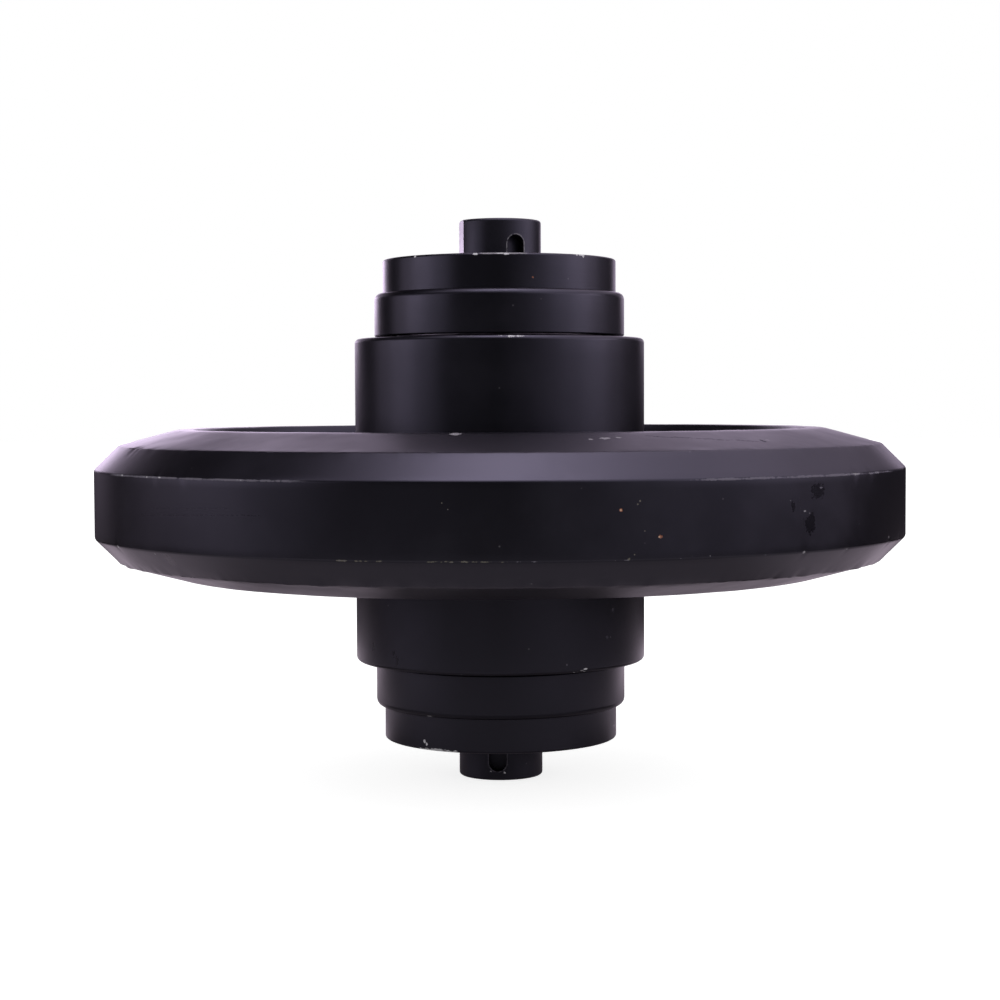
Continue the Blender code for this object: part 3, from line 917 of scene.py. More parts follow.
@dataclass
class Rim:
    """The forged ring that the track runs on."""

    tread_radius: float = 0.200
    tread_top: float = 0.0165
    chamfer_radius: float = 0.1885
    chamfer_top: float = 0.0280
    land_outer: float = 0.160
    land_inner: float = 0.1515
    top: float = 0.0357
    bore: float = 0.146
    bore_top: float = 0.0196
    segments: int = 720

    def shape(self) -> Piece:
        """Turn the ring and work its surface."""
        half = [
            Corner(self.tread_radius, self.tread_top, 0.0008),
            Corner(self.chamfer_radius, self.chamfer_top, 0.0007),
            Corner(self.land_outer, self.top, 0.0016),
            Corner(self.land_inner, self.top, 0.0010),
            Corner(self.bore, self.bore_top),
        ]
        ring = turn_piece("forged_rim", both_sides(half), self.segments, 0.0030, steps=2)
        self.forge(ring)
        self.batter(ring)
        return smooth(ring, 35.0)

    def forge(self, ring: Piece) -> None:
        """Leave the forged side faces slightly uneven, and the turned tread nearly true."""
        inner = self.chamfer_radius
        press(ring, lambda radius, turn, height: 1.0 if radius < inner - 0.002 else 0.0, 0.00030, 0.030)
        press(ring, lambda radius, turn, height: fade(radius - inner, 0.0035) if height < 0.0 else 0.0, 0.0011, 0.0065)
        press(ring, lambda radius, turn, height: fade(radius - inner, 0.0030) if height > 0.0 else 0.0, 0.0004, 0.008)

    def batter(self, ring: Piece) -> None:
        """Knock the tread's edges where the photograph shows dents, and here and there behind."""
        tread, edge, top = self.tread_radius, self.tread_top, self.chamfer_top
        dents = (
            (-63.0, top, self.chamfer_radius, 0.0034),
            (-61.2, top, self.chamfer_radius, 0.0026),
            (52.0, edge, tread, 0.0028),
            (56.5, edge, tread, 0.0026),
            (-49.0, edge, tread, 0.0022),
            (-43.0, edge, tread, 0.0020),
            (75.0, edge, tread, 0.0024),
            (112.0, edge, tread, 0.0030),
            (165.0, top, self.chamfer_radius, 0.0030),
            (40.9, -edge, tread, 0.0024),
            (50.1, -edge, tread, 0.0022),
            (63.2, -edge, tread, 0.0026),
            (69.0, -edge, tread, 0.0022),
            (-60.8, -edge, tread, 0.0024),
            (-138.0, -edge, tread, 0.0032),
        )

        def hit(radius: float, turn: float, height: float) -> float:
            """Give the share of a dent's depth at a place.

            Args:
                radius: Its distance from the axle's line.
                turn: Its turn in degrees.
                height: Its height.

            Returns:
                0 away from the dents to 1 in the middle of one.
            """
            share = 0.0
            if radius > self.chamfer_radius - 0.005:
                for middle, level, out, reach in dents:
                    around = math.radians(turn - middle) * radius
                    away = math.hypot(around, height - level, radius - out)
                    share = max(share, fade(away, reach))
            return share

        press(ring, hit, -0.0004)

    def finish(self) -> Enamel:
        """Give the rim's enamel with its chipped edges and marks, and the continuous pale lines that paint highlights
        on the tread's upper edge.
        """
        tread, edge = self.tread_radius - 0.0003, self.tread_top - 0.0003
        return Enamel(
            peel=0.05,
            turning=0.05,
            seed=1.0,
            wear_and_highlights=(
                # The continuous pale line at -44 degrees paints the highlight of the tread's rounded upper edge; the
                # steel flecks below are chips.
                EdgeWearAndHighlight(tread, edge, 0.92, 0.0005, -44.0, 21.0, RUBBED_AND_HIGHLIGHT_GREY),
                EdgeWearAndHighlight(tread, edge, 0.34, 0.0008, -46.0, 15.0, STEEL_BRIGHT),
                # Painted highlight: the matching continuous line at 44 degrees.
                EdgeWearAndHighlight(tread, edge, 0.80, 0.0006, 44.0, 22.0, RUBBED_AND_HIGHLIGHT_GREY),
                EdgeWearAndHighlight(tread, edge, 0.50, 0.0010, 55.0, 6.0),
                EdgeWearAndHighlight(tread, edge, 0.22, 0.0007),
                EdgeWearAndHighlight(tread, -edge, 0.52, 0.0007, -10.0, 12.0, CLAY),
                EdgeWearAndHighlight(tread, -edge, 0.34, 0.0008, 10.0, 55.0, RUBBED_AND_HIGHLIGHT_GREY),
                EdgeWearAndHighlight(tread, -edge, 0.20, 0.0008),
                EdgeWearAndHighlight(self.chamfer_radius, self.chamfer_top, 0.40, 0.0008, colour=SCUFF_GREY),
                EdgeWearAndHighlight(self.chamfer_radius, -self.chamfer_top, 0.40, 0.0014, colour=SCUFF_GREY),
            ),
            specks=(
                Speck(14.3, 0.0044, 0.0008, RUST),
                Speck(14.3, 0.0044, 0.0004, RUST_HEART),
                Speck(19.3, -0.0070, 0.0009, RUST),
                Speck(19.1, -0.0071, 0.0005, RUST_HEART),
                Speck(16.4, 0.0067, 0.0004, CLAY),
                Speck(16.7, 0.0080, 0.0004, CLAY),
                Speck(17.3, -0.0044, 0.0004, CLAY),
                Speck(-60.8, -0.0166, 0.0006),
                Speck(-50.0, -0.0177, 0.0004, PRIMER_GREY),
                Speck(-47.4, -0.0181, 0.0005, PRIMER_GREY, 0.5),
                Speck(-47.6, -0.0200, 0.0034, DRIP_BLACK, smear=True),
                Speck(40.9, -0.0164, 0.0006, PRIMER_GREY, 1.8),
                Speck(25.9, -0.0156, 0.0003, PRIMER_GREY),
                Speck(50.1, -0.0167, 0.0004, PRIMER_GREY),
                Speck(63.2, -0.0140, 0.0005, PRIMER_GREY),
                Speck(15.3, -0.0158, 0.0006, CLAY, 1.5),
                Speck(16.0, -0.0140, 0.0003, CLAY),
                Speck(-6.8, 0.0078, 0.0003, CLAY),
                Speck(-6.1, 0.0052, 0.0003, CLAY),
                Speck(42.2, 0.0316, 0.0004, PRIMER_GREY, 2.4),
                Speck(40.7, 0.0312, 0.0007, DRIP_BLACK, 1.6),
                Speck(-6.6, 0.0352, 0.0005, PRIMER_GREY, 6.0),
                Speck(13.0, 0.0329, 0.0003, PRIMER_GREY, 4.0),
                Speck(15.2, 0.0332, 0.0004, PRIMER_GREY, 6.0),
                Speck(17.4, 0.0335, 0.0003, PRIMER_GREY, 5.0),
                Speck(42.0, -0.0040, 0.0048, DRIP_BLACK, 0.8, True),
                Speck(43.4, 0.0100, 0.0036, DRIP_BLACK, 1.6, True),
                Speck(38.8, 0.0040, 0.0024, DRIP_BLACK, 0.6, True),
                Speck(40.9, 0.0014, 0.0004, PRIMER_GREY, 2.2),
                Speck(41.8, 0.0004, 0.0003, PRIMER_GREY, 2.0),
                Speck(38.3, 0.0062, 0.0003, PRIMER_GREY),
                Speck(44.0, 0.0112, 0.0004, RUBBED_AND_HIGHLIGHT_GREY, 3.0),
            ),
            scratches=(
                Scratch(-54.0, -0.0008, 25.0, 0.0026, 0.00022, DRIP_BLACK, True),
                Scratch(-52.0, 0.0022, 18.0, 0.0020, 0.00018, DRIP_BLACK, True),
                Scratch(21.7, 0.0340, 18.5, -0.0031, 0.00018, DRIP_BLACK),
                Scratch(39.8, 0.0080, 0.8, -0.0140, 0.00022, SCUFF_GREY),
            ),
        )

    def build(self) -> None:
        """Make the rim."""
        finish_piece(self.shape(), self.finish().material("rim_enamel"), WHEEL_BODY, "rim")


@dataclass
class Web:
    """The plate between hub and rim, with its four weld beads."""

    inner: float = 0.0725
    outer: float = 0.1457
    top: float = 0.011
    weld_foot: float = 0.0113
    rim_leg: float = 0.008
    hub_leg: float = 0.009
    bulge: float = 0.0009
    ripple: float = 0.0003

    def plate(self) -> Piece:
        """Turn the plate, and leave its rolled faces a little wavy."""
        half = [Corner(self.outer, self.top, 0.0003), Corner(self.inner, self.top, 0.0003)]
        plate = turn_piece("web_plate", both_sides(half), 240, 0.006)
        low, high = self.inner + 0.004, self.outer - 0.004
        press(plate, lambda radius, turn, height: 1.0 if low < radius < high else 0.0, 0.0002, 0.035)
        return smooth(plate)

    def bead(self, side: Side, name: str, wall: float, leg: float, outward: float) -> Piece:
        """Turn one weld bead and ripple it.

        Args:
            side: The web's side that it lies on.
            name: The bead's name.
            wall: The wall's radius.
            leg: The bead's leg.
            outward: 1 where the bead lies outside the wall, -1 where it lies inside.

        Returns:
            The bead.
        """
        foot = wall + outward * FIT
        half_way = leg / 2.0 + self.bulge
        corners = [
            Corner(foot, self.weld_foot),
            Corner(foot + outward * leg, self.weld_foot),
            Corner(foot + outward * half_way, self.weld_foot + half_way, 0.0035),
            Corner(foot, self.weld_foot + leg),
        ]
        segments = 720 if outward < 0.0 else 480
        bead = turn_piece(name, on_side(corners, side), segments, 0.0022, steps=4)

        def crest(radius: float, turn: float, height: float) -> float:
            """Give the share of a ripple's depth at a place.

            Args:
                radius: Its distance from the axle's line.
                turn: Its turn in degrees.
                height: Its height.

            Returns:
                0 on a crest and on the bead's legs to 1 between two crests.
            """
            if abs(height) < self.weld_foot + 0.0004 or abs(radius - foot) < 0.0004:
                return 0.0
            lag = (abs(height) - self.weld_foot) / leg * 2.0
            return 0.5 + 0.5 * math.cos(math.pi / 2.0 * (turn * segments / 360.0 + lag))

        press(bead, crest, -self.ripple)
        return smooth(bead, ROUND_ANGLE, False)

    def build(self) -> None:
        """Make the plate and its beads."""
        plate_paint = Enamel(peel=0.16, seed=2.0, roughness=0.34).material("web_enamel")
        weld_paint = Enamel(
            colour=(0.0055, 0.0050, 0.0068, 1.0), roughness=0.38, peel=0.25, peel_scale=700.0, seed=4.0
        ).material("weld_enamel")
        finish_piece(self.plate(), plate_paint, WHEEL_BODY, "web_disc")
        walls = (("rim", self.outer + FIT, self.rim_leg, -1.0), ("hub", self.inner - FIT, self.hub_leg, 1.0))
        for side in Side:
            for word, wall, leg, outward in walls:
                bead = self.bead(side, f"{side.word}_{word}_bead", wall, leg, outward)
                finish_piece(bead, weld_paint, WHEEL_BODY, f"{side.word}_{word}_weld")


@dataclass
class Hub:
    """The tube through the wheel that holds the bearings and half of each face seal."""

    radius: float = 0.0722
    top: float = 0.0801
    edge_round: float = 0.0022
    housing: float = 0.0537
    mouth: float = 0.0550
    housing_floor: float = 0.06975
    counterbore: float = 0.0388
    bushing_top: float = 0.060
    bore: float = 0.0333
    reservoir_top: float = 0.018
    reservoir: float = 0.038

    def shape(self) -> Piece:
        """Turn the hub."""
        half = [
            Corner(self.radius, self.top, self.edge_round),
            Corner(self.mouth, self.top, 0.0003),
            Corner(self.housing, self.top - (self.mouth - self.housing), 0.0003),
            Corner(self.housing, self.housing_floor, 0.0005),
            Corner(self.counterbore, self.housing_floor, 0.0003),
            Corner(self.counterbore, self.bushing_top),
            Corner(self.bore, self.bushing_top),
            Corner(self.bore, self.reservoir_top),
            Corner(self.reservoir, self.reservoir_top),
        ]
        return smooth(turn_piece("wheel_hub", both_sides(half), 256, 0.008, steps=4))

    def finish(self) -> Enamel:
        """Give the hub's enamel, with orange peel and chipped ends."""
        out, high, low = self.radius - 0.0007, self.top - 0.0006, 0.0006 - self.top
        return Enamel(
            peel=0.22,
            peel_scale=330.0,
            turning=0.05,
            seed=5.0,
            wear_and_highlights=(
                EdgeWearAndHighlight(out, high, 0.44, 0.0014, 5.5, 8.0, STEEL_BRIGHT),
                EdgeWearAndHighlight(out, high, 0.16, 0.0014),
                EdgeWearAndHighlight(out, low, 0.26, 0.0015, 30.0, 14.0, STEEL_BRIGHT),
                EdgeWearAndHighlight(out, low, 0.16, 0.0014),
            ),
            specks=(
                Speck(-59.0, -0.0700, 0.0026, DRIP_BLACK, 0.4, True),
                Speck(-45.1, -0.0720, 0.0024, DRIP_BLACK, 0.4, True),
                Speck(-43.4, -0.0750, 0.0028, DRIP_BLACK, 0.4, True),
                Speck(48.5, -0.0514, 0.0009, SCUFF_GREY),
                Speck(45.0, -0.0640, 0.0008, SCUFF_GREY),
                Speck(25.7, -0.0756, 0.0006, RUBBED_AND_HIGHLIGHT_GREY, 0.6),
                Speck(33.8, -0.0782, 0.0005, STEEL_BRIGHT, 2.6),
                Speck(32.6, -0.0788, 0.0004, PRIMER_GREY, 3.0),
            ),
        )

    def build(self) -> None:
        """Make the hub."""
        finish_piece(self.shape(), self.finish().material("hub_enamel"), WHEEL_BODY, "hub")


@dataclass
class Bearing:
    """One sleeve and the washer that takes the side load."""

    side: Side
    sleeve_bore: float = 0.0278
    sleeve_radius: float = 0.0330
    sleeve_bottom: float = 0.020
    sleeve_top: float = 0.060
    washer_radius: float = 0.0385
    washer_bottom: float = 0.0603
    washer_top: float = 0.0643

    def ring(self, name: str, outer: float, bottom: float, top: float) -> Piece:
        """Turn a flat-ended bronze ring round the journal."""
        spots = ((self.sleeve_bore, bottom), (outer, bottom), (outer, top), (self.sleeve_bore, top))
        corners = [Corner(radius, height, 0.0004).at(self.side) for radius, height in spots]
        return smooth(turn_piece(name, corners, 128, 0.01, steps=2))

    def build(self, bronze: Material) -> None:
        """Make the sleeve and the washer."""
        word = self.side.word
        sleeve = self.ring(f"{word}_sleeve", self.sleeve_radius, self.sleeve_bottom, self.sleeve_top)
        washer = self.ring(f"{word}_side_washer", self.washer_radius, self.washer_bottom, self.washer_top)
        finish_piece(sleeve, bronze, WHEEL_BODY, f"{word}_bushing")
        finish_piece(washer, bronze, WHEEL_BODY, f"{word}_thrust_washer")


@dataclass
class FaceSeal:
    """A floating face seal: two lapped iron rings, each in a rubber toric."""

    side: Side
    plane: float = 0.0807
    bore: float = 0.0410
    radius: float = 0.0462
    flange: float = 0.0515
    face_gap: float = 0.00015
    relief: float = 0.0009
    flange_thickness: float = 0.0025
    flange_back: float = 0.00345
    length: float = 0.0094
    toric_middle: float = 0.04995
    toric_section: float = 0.00345
    toric_offset: float = 0.0072

    def iron_ring(self, name: str, direction: float) -> Piece:
        """Turn one lapped ring; direction is 1 for the collar's and -1 for the hub's."""
        offsets = (
            (self.bore, self.face_gap + self.relief, 0.0),
            (self.radius, self.face_gap, 0.0),
            (self.flange, self.face_gap, 0.0003),
            (self.flange, self.face_gap + self.flange_thickness, 0.0004),
            (self.radius, self.flange_back, 0.0004),
            (self.radius, self.face_gap + self.length, 0.0004),
            (self.bore, self.face_gap + self.length, 0.0004),
        )
        corners = [Corner(radius, self.plane + direction * offset, soften) for radius, offset, soften in offsets]
        return smooth(turn_piece(name, on_side(corners, self.side), 160, 0.01, steps=2))

    def toric(self, name: str, direction: float) -> Piece:
        """Turn one rubber ring of round section."""
        section = round_section(self.toric_middle, self.plane + direction * self.toric_offset, self.toric_section, 24)
        return smooth(turn_piece(name, on_side(section, self.side), 160), ROUND_ANGLE, False)

    def build(self, iron: Material, rubber: Material) -> None:
        """Make both halves of the seal."""
        for part, direction, body in (("hub", -1.0, WHEEL_BODY), ("collar", 1.0, AXLE_BODY)):
            name = f"{self.side.word}_{part}"
            finish_piece(self.iron_ring(f"{name}_lapped_ring", direction), iron, body, f"{name}_seal_ring")
            finish_piece(self.toric(f"{name}_rubber_ring", direction), rubber, body, f"{name}_toric")


@dataclass
class Collar:
    """A stepped end piece with its lock pin and O-ring."""

    side: Side
    bottom: float = 0.0813
    shoulder: float = 0.0623
    shoulder_top: float = 0.1026
    shoulder_reach: float = 0.0032
    cap: float = 0.0581
    cap_top: float = 0.11915
    cap_chamfer: float = 0.0011
    bore: float = 0.0212
    journal_bore: float = 0.0278
    journal_top: float = 0.09235
    nose_radius: float = 0.0380
    nose_bottom: float = 0.0646
    housing: float = 0.0537
    housing_top: float = 0.09165
    mouth: float = 0.0550
    pin_radius: float = 0.0050
    pin_inner: float = 0.0119
    pin_outer: float = 0.0561
    pin_height: float = 0.110875
    o_ring_middle: float = 0.0262
    o_ring_section: float = 0.0013
    o_ring_height: float = 0.08505

    def shape(self) -> Piece:
        """Turn the collar and drill its pin hole at the back."""
        corners = [
            Corner(self.mouth, self.bottom, 0.0003),
            Corner(self.shoulder, self.bottom, 0.0006),
            Corner(self.shoulder, self.shoulder_top, self.shoulder_reach),
            Corner(self.cap, self.shoulder_top),
            Corner(self.cap, self.cap_top, self.cap_chamfer),
            Corner(self.bore, self.cap_top, 0.0006),
            Corner(self.bore, self.journal_top),
            Corner(self.journal_bore, self.journal_top),
            Corner(self.journal_bore, self.nose_bottom, 0.0004),
            Corner(self.nose_radius, self.nose_bottom, 0.0004),
            Corner(self.nose_radius, self.housing_top, 0.0005),
            Corner(self.housing, self.housing_top, 0.0005),
            Corner(self.housing, self.bottom + self.mouth - self.housing, 0.0003),
        ]
        collar = turn_piece(f"{self.side.word}_stepped_collar", on_side(corners, self.side), 224, 0.01, steps=4)
        height = self.pin_height * self.side.value
        cut_out(collar, radial_rod("pin_drill", self.pin_radius + FIT, self.pin_inner, self.cap + 0.004, height))
        return smooth(collar)

    def finish(self) -> Enamel:
        """Give the collar's enamel with the chips of its side, and on the upper cap a continuous pale line that paints
        the highlight at the front of its edge.
        """
        edge = self.side.value * (self.cap_top - 0.0004)
        step = self.side.value * (self.shoulder_top - 0.0006)
        rim = self.cap - 0.0004
        everywhere = (EdgeWearAndHighlight(rim, edge, 0.18), EdgeWearAndHighlight(self.shoulder - 0.0008, step, 0.10))
        if self.side is Side.UPPER:
            return Enamel(
                peel=0.10,
                turning=0.16,
                seed=6.0,
                wear_and_highlights=everywhere + (
                    # Painted highlight: a continuous primer-grey line along the front of the cap's edge.
                    EdgeWearAndHighlight(rim, edge, 0.95, 0.0005, 2.0, 12.0),
                    EdgeWearAndHighlight(rim, edge, 0.40, 0.0010, 1.0, 11.0, STEEL_BRIGHT),
                    EdgeWearAndHighlight(rim, edge, 0.40, 0.0010, -43.2, 3.0, STEEL_BRIGHT),
                    EdgeWearAndHighlight(rim, edge, 0.40, 0.0010, 43.2, 4.0, STEEL_BRIGHT),
                ),
                specks=(
                    Speck(16.0, 0.1076, 0.0006, RUST),
                    Speck(3.4, 0.1185, 0.0005, STEEL_BRIGHT, 3.0),
                    Speck(-11.3, 0.1185, 0.0005, STEEL_BRIGHT, 2.4),
                    Speck(-44.0, 0.1184, 0.0005, STEEL_BRIGHT, 1.5),
                    Speck(44.0, 0.1182, 0.0006, STEEL_BRIGHT, 1.5),
                ),
            )
        return Enamel(
            peel=0.12,
            turning=0.08,
            seed=7.0,
            wear_and_highlights=everywhere + (
                EdgeWearAndHighlight(rim, edge, 0.55, 0.0014, -32.0, 12.0, STEEL_BRIGHT),
                EdgeWearAndHighlight(rim, edge, 0.50, 0.0012, 46.0, 12.0, PRIMER_GREY),
            ),
            specks=(
                Speck(-34.2, -0.1020, 0.0006, PRIMER_GREY, 2.6),
                Speck(-39.4, -0.1150, 0.0011, STEEL_BRIGHT, 0.8),
                Speck(-38.2, -0.1162, 0.0008, STEEL_BRIGHT, 0.8),
                Speck(-27.6, -0.1184, 0.0006, PRIMER_GREY, 2.0),
                Speck(75.7, -0.1127, 0.0012, DRIP_BLACK, smear=True),
            ),
        )

    def build(self, steel: Material, rubber: Material) -> None:
        """Make the collar, its pin and its O-ring."""
        word = self.side.word
        height = self.pin_height * self.side.value
        pin = radial_rod(f"{word}_radial_pin", self.pin_radius, self.pin_inner, self.pin_outer, height, 0.0008)
        section = round_section(self.o_ring_middle, self.o_ring_height, self.o_ring_section, 16)
        o_ring = smooth(turn_piece(f"{word}_journal_ring", on_side(section, self.side), 128), ROUND_ANGLE, False)
        paint = self.finish().material(f"{word}_collar_enamel")
        finish_piece(self.shape(), paint, AXLE_BODY, f"{word}_collar")
        finish_piece(smooth(pin), steel, AXLE_BODY, f"{word}_lock_pin")
        finish_piece(o_ring, rubber, AXLE_BODY, f"{word}_o_ring")


@dataclass
class Axle:
    """The axle with its slots, flat and oil passage, and the plug that closes it."""

    spigot: float = 0.0209
    end: float = 0.1387
    end_chamfer: float = 0.0014
    journal: float = 0.0275
    journal_top: float = 0.09205
    journal_chamfer: float = 0.0010
    groove_radius: float = 0.0246
    groove_middle: float = 0.08505
    groove_half: float = 0.0016
    passage: float = 0.0030
    passage_bottom: float = -0.0060
    cross_hole: float = 0.0022
    counterbore: float = 0.0090
    plug_seat: float = 0.1332
    plug_hole: float = 0.0060
    plug_hole_bottom: float = 0.1257
    slot_width: float = 0.0090
    slot_depth: float = 0.0070
    upper_slot_end: float = 0.0080
    lower_slot_end: float = 0.0045
    slot_bottom: float = 0.11615
    upper_slot_turn: float = 23.5
    lower_slot_turn: float = -4.5
    flat_depth: float = 0.0020
    flat_bottom: float = 0.11945
    flat_turn: float = -82.0
    pin_hole: float = 0.0053
    pin_inner: float = 0.0116
    pin_height: float = 0.110875
    plug: float = 0.0057
    plug_head: float = 0.0087
    plug_top: float = 0.1384
    plug_head_bottom: float = 0.1350
    plug_bottom: float = 0.1260
    socket_across: float = 0.0080
    socket_depth: float = 0.0040

    def end_outline(self) -> list[Corner]:
        """Give the outline of one side, from the O-ring groove to the axle's end."""
        return [
            Corner(self.journal, self.groove_middle - self.groove_half),
            Corner(self.groove_radius, self.groove_middle - self.groove_half),
            Corner(self.groove_radius, self.groove_middle + self.groove_half),
            Corner(self.journal, self.groove_middle + self.groove_half),
            Corner(self.journal, self.journal_top, self.journal_chamfer),
            Corner(self.spigot, self.journal_top),
            Corner(self.spigot, self.end, self.end_chamfer),
        ]

    def slot(self, side: Side) -> tuple[float, float]:
        """Give the turn of a side's lock slot, in degrees from the front, and how high it reaches."""
        if side is Side.UPPER:
            return self.upper_slot_turn, self.end - self.upper_slot_end
        return self.lower_slot_turn, self.end - self.lower_slot_end

    def slot_cutter(self, side: Side) -> Piece:
        """Shape the cutter of a lock slot: a bar with a round end.

        Args:
            side: The axle's end that it cuts.

        Returns:
            The cutter.
        """
        half = self.slot_width / 2.0
        turn, top = self.slot(side)
        low = (-half, -(self.spigot + 0.004), self.slot_bottom)
        cutter = block("slot_cutter", low, (half, self.slot_depth - self.spigot, top))

        def along_the_top(edge: bmesh.types.BMEdge) -> bool:
            """Tell the two top edges that run into the axle from the others."""
            first, second = (point.co for point in edge.verts)
            return min(first.z, second.z) > top - NEAR and abs(first.x - second.x) < NEAR

        pick_edges(cutter, along_the_top)
        bpy.ops.mesh.bevel(offset=half * 0.9995, segments=14, profile=0.5, affect="EDGES", clamp_overlap=False)
        bpy.ops.mesh.select_all(action="SELECT")
        if side is Side.LOWER:
            bpy.ops.transform.resize(value=(1.0, 1.0, -1.0), center_override=(0.0, 0.0, 0.0))
            bpy.ops.mesh.normals_make_consistent(inside=False)
        swing_round(cutter, turn)
        return cutter

    def shaft(self) -> Piece:
        """Turn the axle and cut what isn't round."""
        outside = self.end_outline()
        corners = [Corner(0.0, -self.end)] + on_side(outside[::-1], Side.LOWER) + outside
        corners += [
            Corner(self.counterbore, self.end, 0.0004),
            Corner(self.counterbore, self.plug_seat),
            Corner(self.plug_hole, self.plug_seat),
            Corner(self.plug_hole, self.plug_hole_bottom),
            Corner(self.passage, self.plug_hole_bottom),
            Corner(self.passage, self.passage_bottom),
            Corner(0.0, self.passage_bottom),
        ]
        shaft = turn_piece("idler_axle", corners, 192, 0.012, closed=False, steps=4)
        reach = self.journal + 0.004
        cross = radial_rod("oil_drill", self.cross_hole, -reach, reach, 0.0)
        swing_round(cross, 90.0)
        cut_out(shaft, cross)
        for side in Side:
            cut_out(shaft, self.slot_cutter(side))
        low = (-self.spigot, -(self.spigot + 0.004), self.flat_bottom)
        flat = block("flat_cutter", low, (self.spigot, self.flat_depth - self.spigot, self.end + 0.004))
        swing_round(flat, self.flat_turn)
        cut_out(shaft, flat)
        for side in Side:
            cut_out(shaft, radial_rod("pin_drill", self.pin_hole, self.pin_inner, reach, self.pin_height * side.value))
        return smooth(shaft)

    def closing_plug(self) -> Piece:
        """Turn the oil plug and sink its hexagon socket."""
        corners = [
            Corner(0.0, self.plug_bottom),
            Corner(self.plug, self.plug_bottom, 0.00075),
            Corner(self.plug, self.plug_head_bottom),
            Corner(self.plug_head, self.plug_head_bottom, 0.0004),
            Corner(self.plug_head, self.plug_top, 0.0006),
            Corner(0.0, self.plug_top),
        ]
        plug = turn_piece("closing_plug", corners, 96, closed=False)
        rest()
        reach = self.socket_across / math.sqrt(3.0)
        middle = self.plug_top - self.socket_depth + 0.01
        bpy.ops.mesh.primitive_cylinder_add(vertices=6, radius=reach, depth=0.02, location=(0.0, 0.0, middle))
        cut_out(plug, bpy.context.active_object)
        return smooth(plug)

    def seal_washer(self) -> Piece:
        """Turn the soft washer under the plug's head."""
        bore, bottom, top = self.plug + FIT, self.plug_seat + FIT, self.plug_head_bottom - FIT
        corners = [
            Corner(bore, bottom, 0.0002),
            Corner(self.plug_head, bottom, 0.0003),
            Corner(self.plug_head, top, 0.0003),
            Corner(bore, top, 0.0002),
        ]
        return smooth(turn_piece("soft_washer", corners, 96, steps=2))

    def finish(self) -> Enamel:
        """Give the axle's enamel, chipped at its ends."""
        out, tip, half = self.spigot - 0.0006, self.end - 0.0006, self.slot_width / 2.0
        return Enamel(
            roughness=0.33,
            peel=0.16,
            turning=0.14,
            seed=8.0,
            wear_and_highlights=(
                EdgeWearAndHighlight(out, tip, 0.40, 0.0010, colour=SCUFF_GREY),
                EdgeWearAndHighlight(out, -tip, 0.30, 0.0012, colour=SCUFF_GREY),
            ),
            specks=(
                Speck(-14.0, -0.1342, 0.0006, STEEL_BRIGHT, 0.6),
                Speck(5.0, -0.1347, 0.0005, STEEL_BRIGHT, 1.4),
                Speck(34.0, 0.1320, 0.0005, SCUFF_GREY, 0.5),
            ),
            lips=tuple(
                SlotLip(self.spigot, self.slot(side)[0], half, side.value * (self.slot(side)[1] - half), 0.0006, colour)
                for side, colour in ((Side.UPPER, PRIMER_GREY), (Side.LOWER, RUBBED_AND_HIGHLIGHT_GREY))
            ),
        )

    def build(self, steel: Material, copper: Material) -> None:
        """Make the axle, the plug and its washer."""
        finish_piece(self.shaft(), self.finish().material("axle_enamel"), AXLE_BODY, "axle")
        finish_piece(self.closing_plug(), steel, AXLE_BODY, "oil_plug")
        finish_piece(self.seal_washer(), copper, AXLE_BODY, "plug_washer")


# Studio


LAMP_TONE: Colour = (1.05, 0.87, 1.16, 1.0)
FLOOR_TONE: Colour = (1.08, 0.90, 1.08, 1.0)
FLOOR_COLOUR: Colour = (0.8, 0.8, 0.8, 1.0)


@dataclass(frozen=True)
class LampBand:
    """Soft lamp cards hung at one height: angles in degrees as seen from the wheel, and a strength for each turn."""

    rise: float
    half_height: float
    half_width: float
    lamps: tuple[tuple[float, float], ...]
    edge: float = 4.0

    def light(self, graph: Graph, turn: Value, rise: Value) -> Value:
        """Give the light of the band in a direction.

        Args:
            graph: The room's graph.
            turn: The direction's turn from the front, to the right.
            rise: Its angle above the level.

        Returns:
            The strength there.
        """
        outer, inner = (math.cos(math.radians(self.half_width + self.edge * sign)) for sign in (1.0, -1.0))
        total: Value = 0.0
        for place, strength in self.lamps:
            off = graph.math("COSINE", graph.minus(turn, math.radians(place)))
            total = graph.plus(graph.times(graph.step(off, outer, inner), strength), total)
        up = graph.gap(rise, math.radians(self.rise))
        high, low = (math.radians(self.half_height + self.edge * sign) for sign in (1.0, -1.0))
        return graph.times(graph.step(up, high, low), total)


@dataclass(frozen=True)
class FloorRing:
    """A ring of the floor as the enamel mirrors it: radii in metres, its light at the front, the sides and behind."""

    inner: float
    outer: float
    front: float
    side: float
    behind: float

    def light(self, graph: Graph, radius: Value, cosine: Value) -> Value:
        """Give the light of the ring at a place on the floor.

        Args:
            graph: The floor's graph.
            radius: The place's distance from the axle's line.
            cosine: Cosine of its turn from the front.

        Returns:
            The strength there.
        """
        total: Value = 0.0
        for middle, strength in ((1.0, self.front), (0.0, self.side), (-1.0, self.behind)):
            near = graph.step(graph.gap(cosine, middle), 0.75, 0.25)
            total = graph.plus(graph.times(near, strength), total)
        total = graph.times(graph.step(radius, self.outer * 1.15, self.outer * 0.85), total)
        if self.inner > 0.0:
            total = graph.times(graph.step(radius, self.inner * 0.85, self.inner * 1.15), total)
        return total


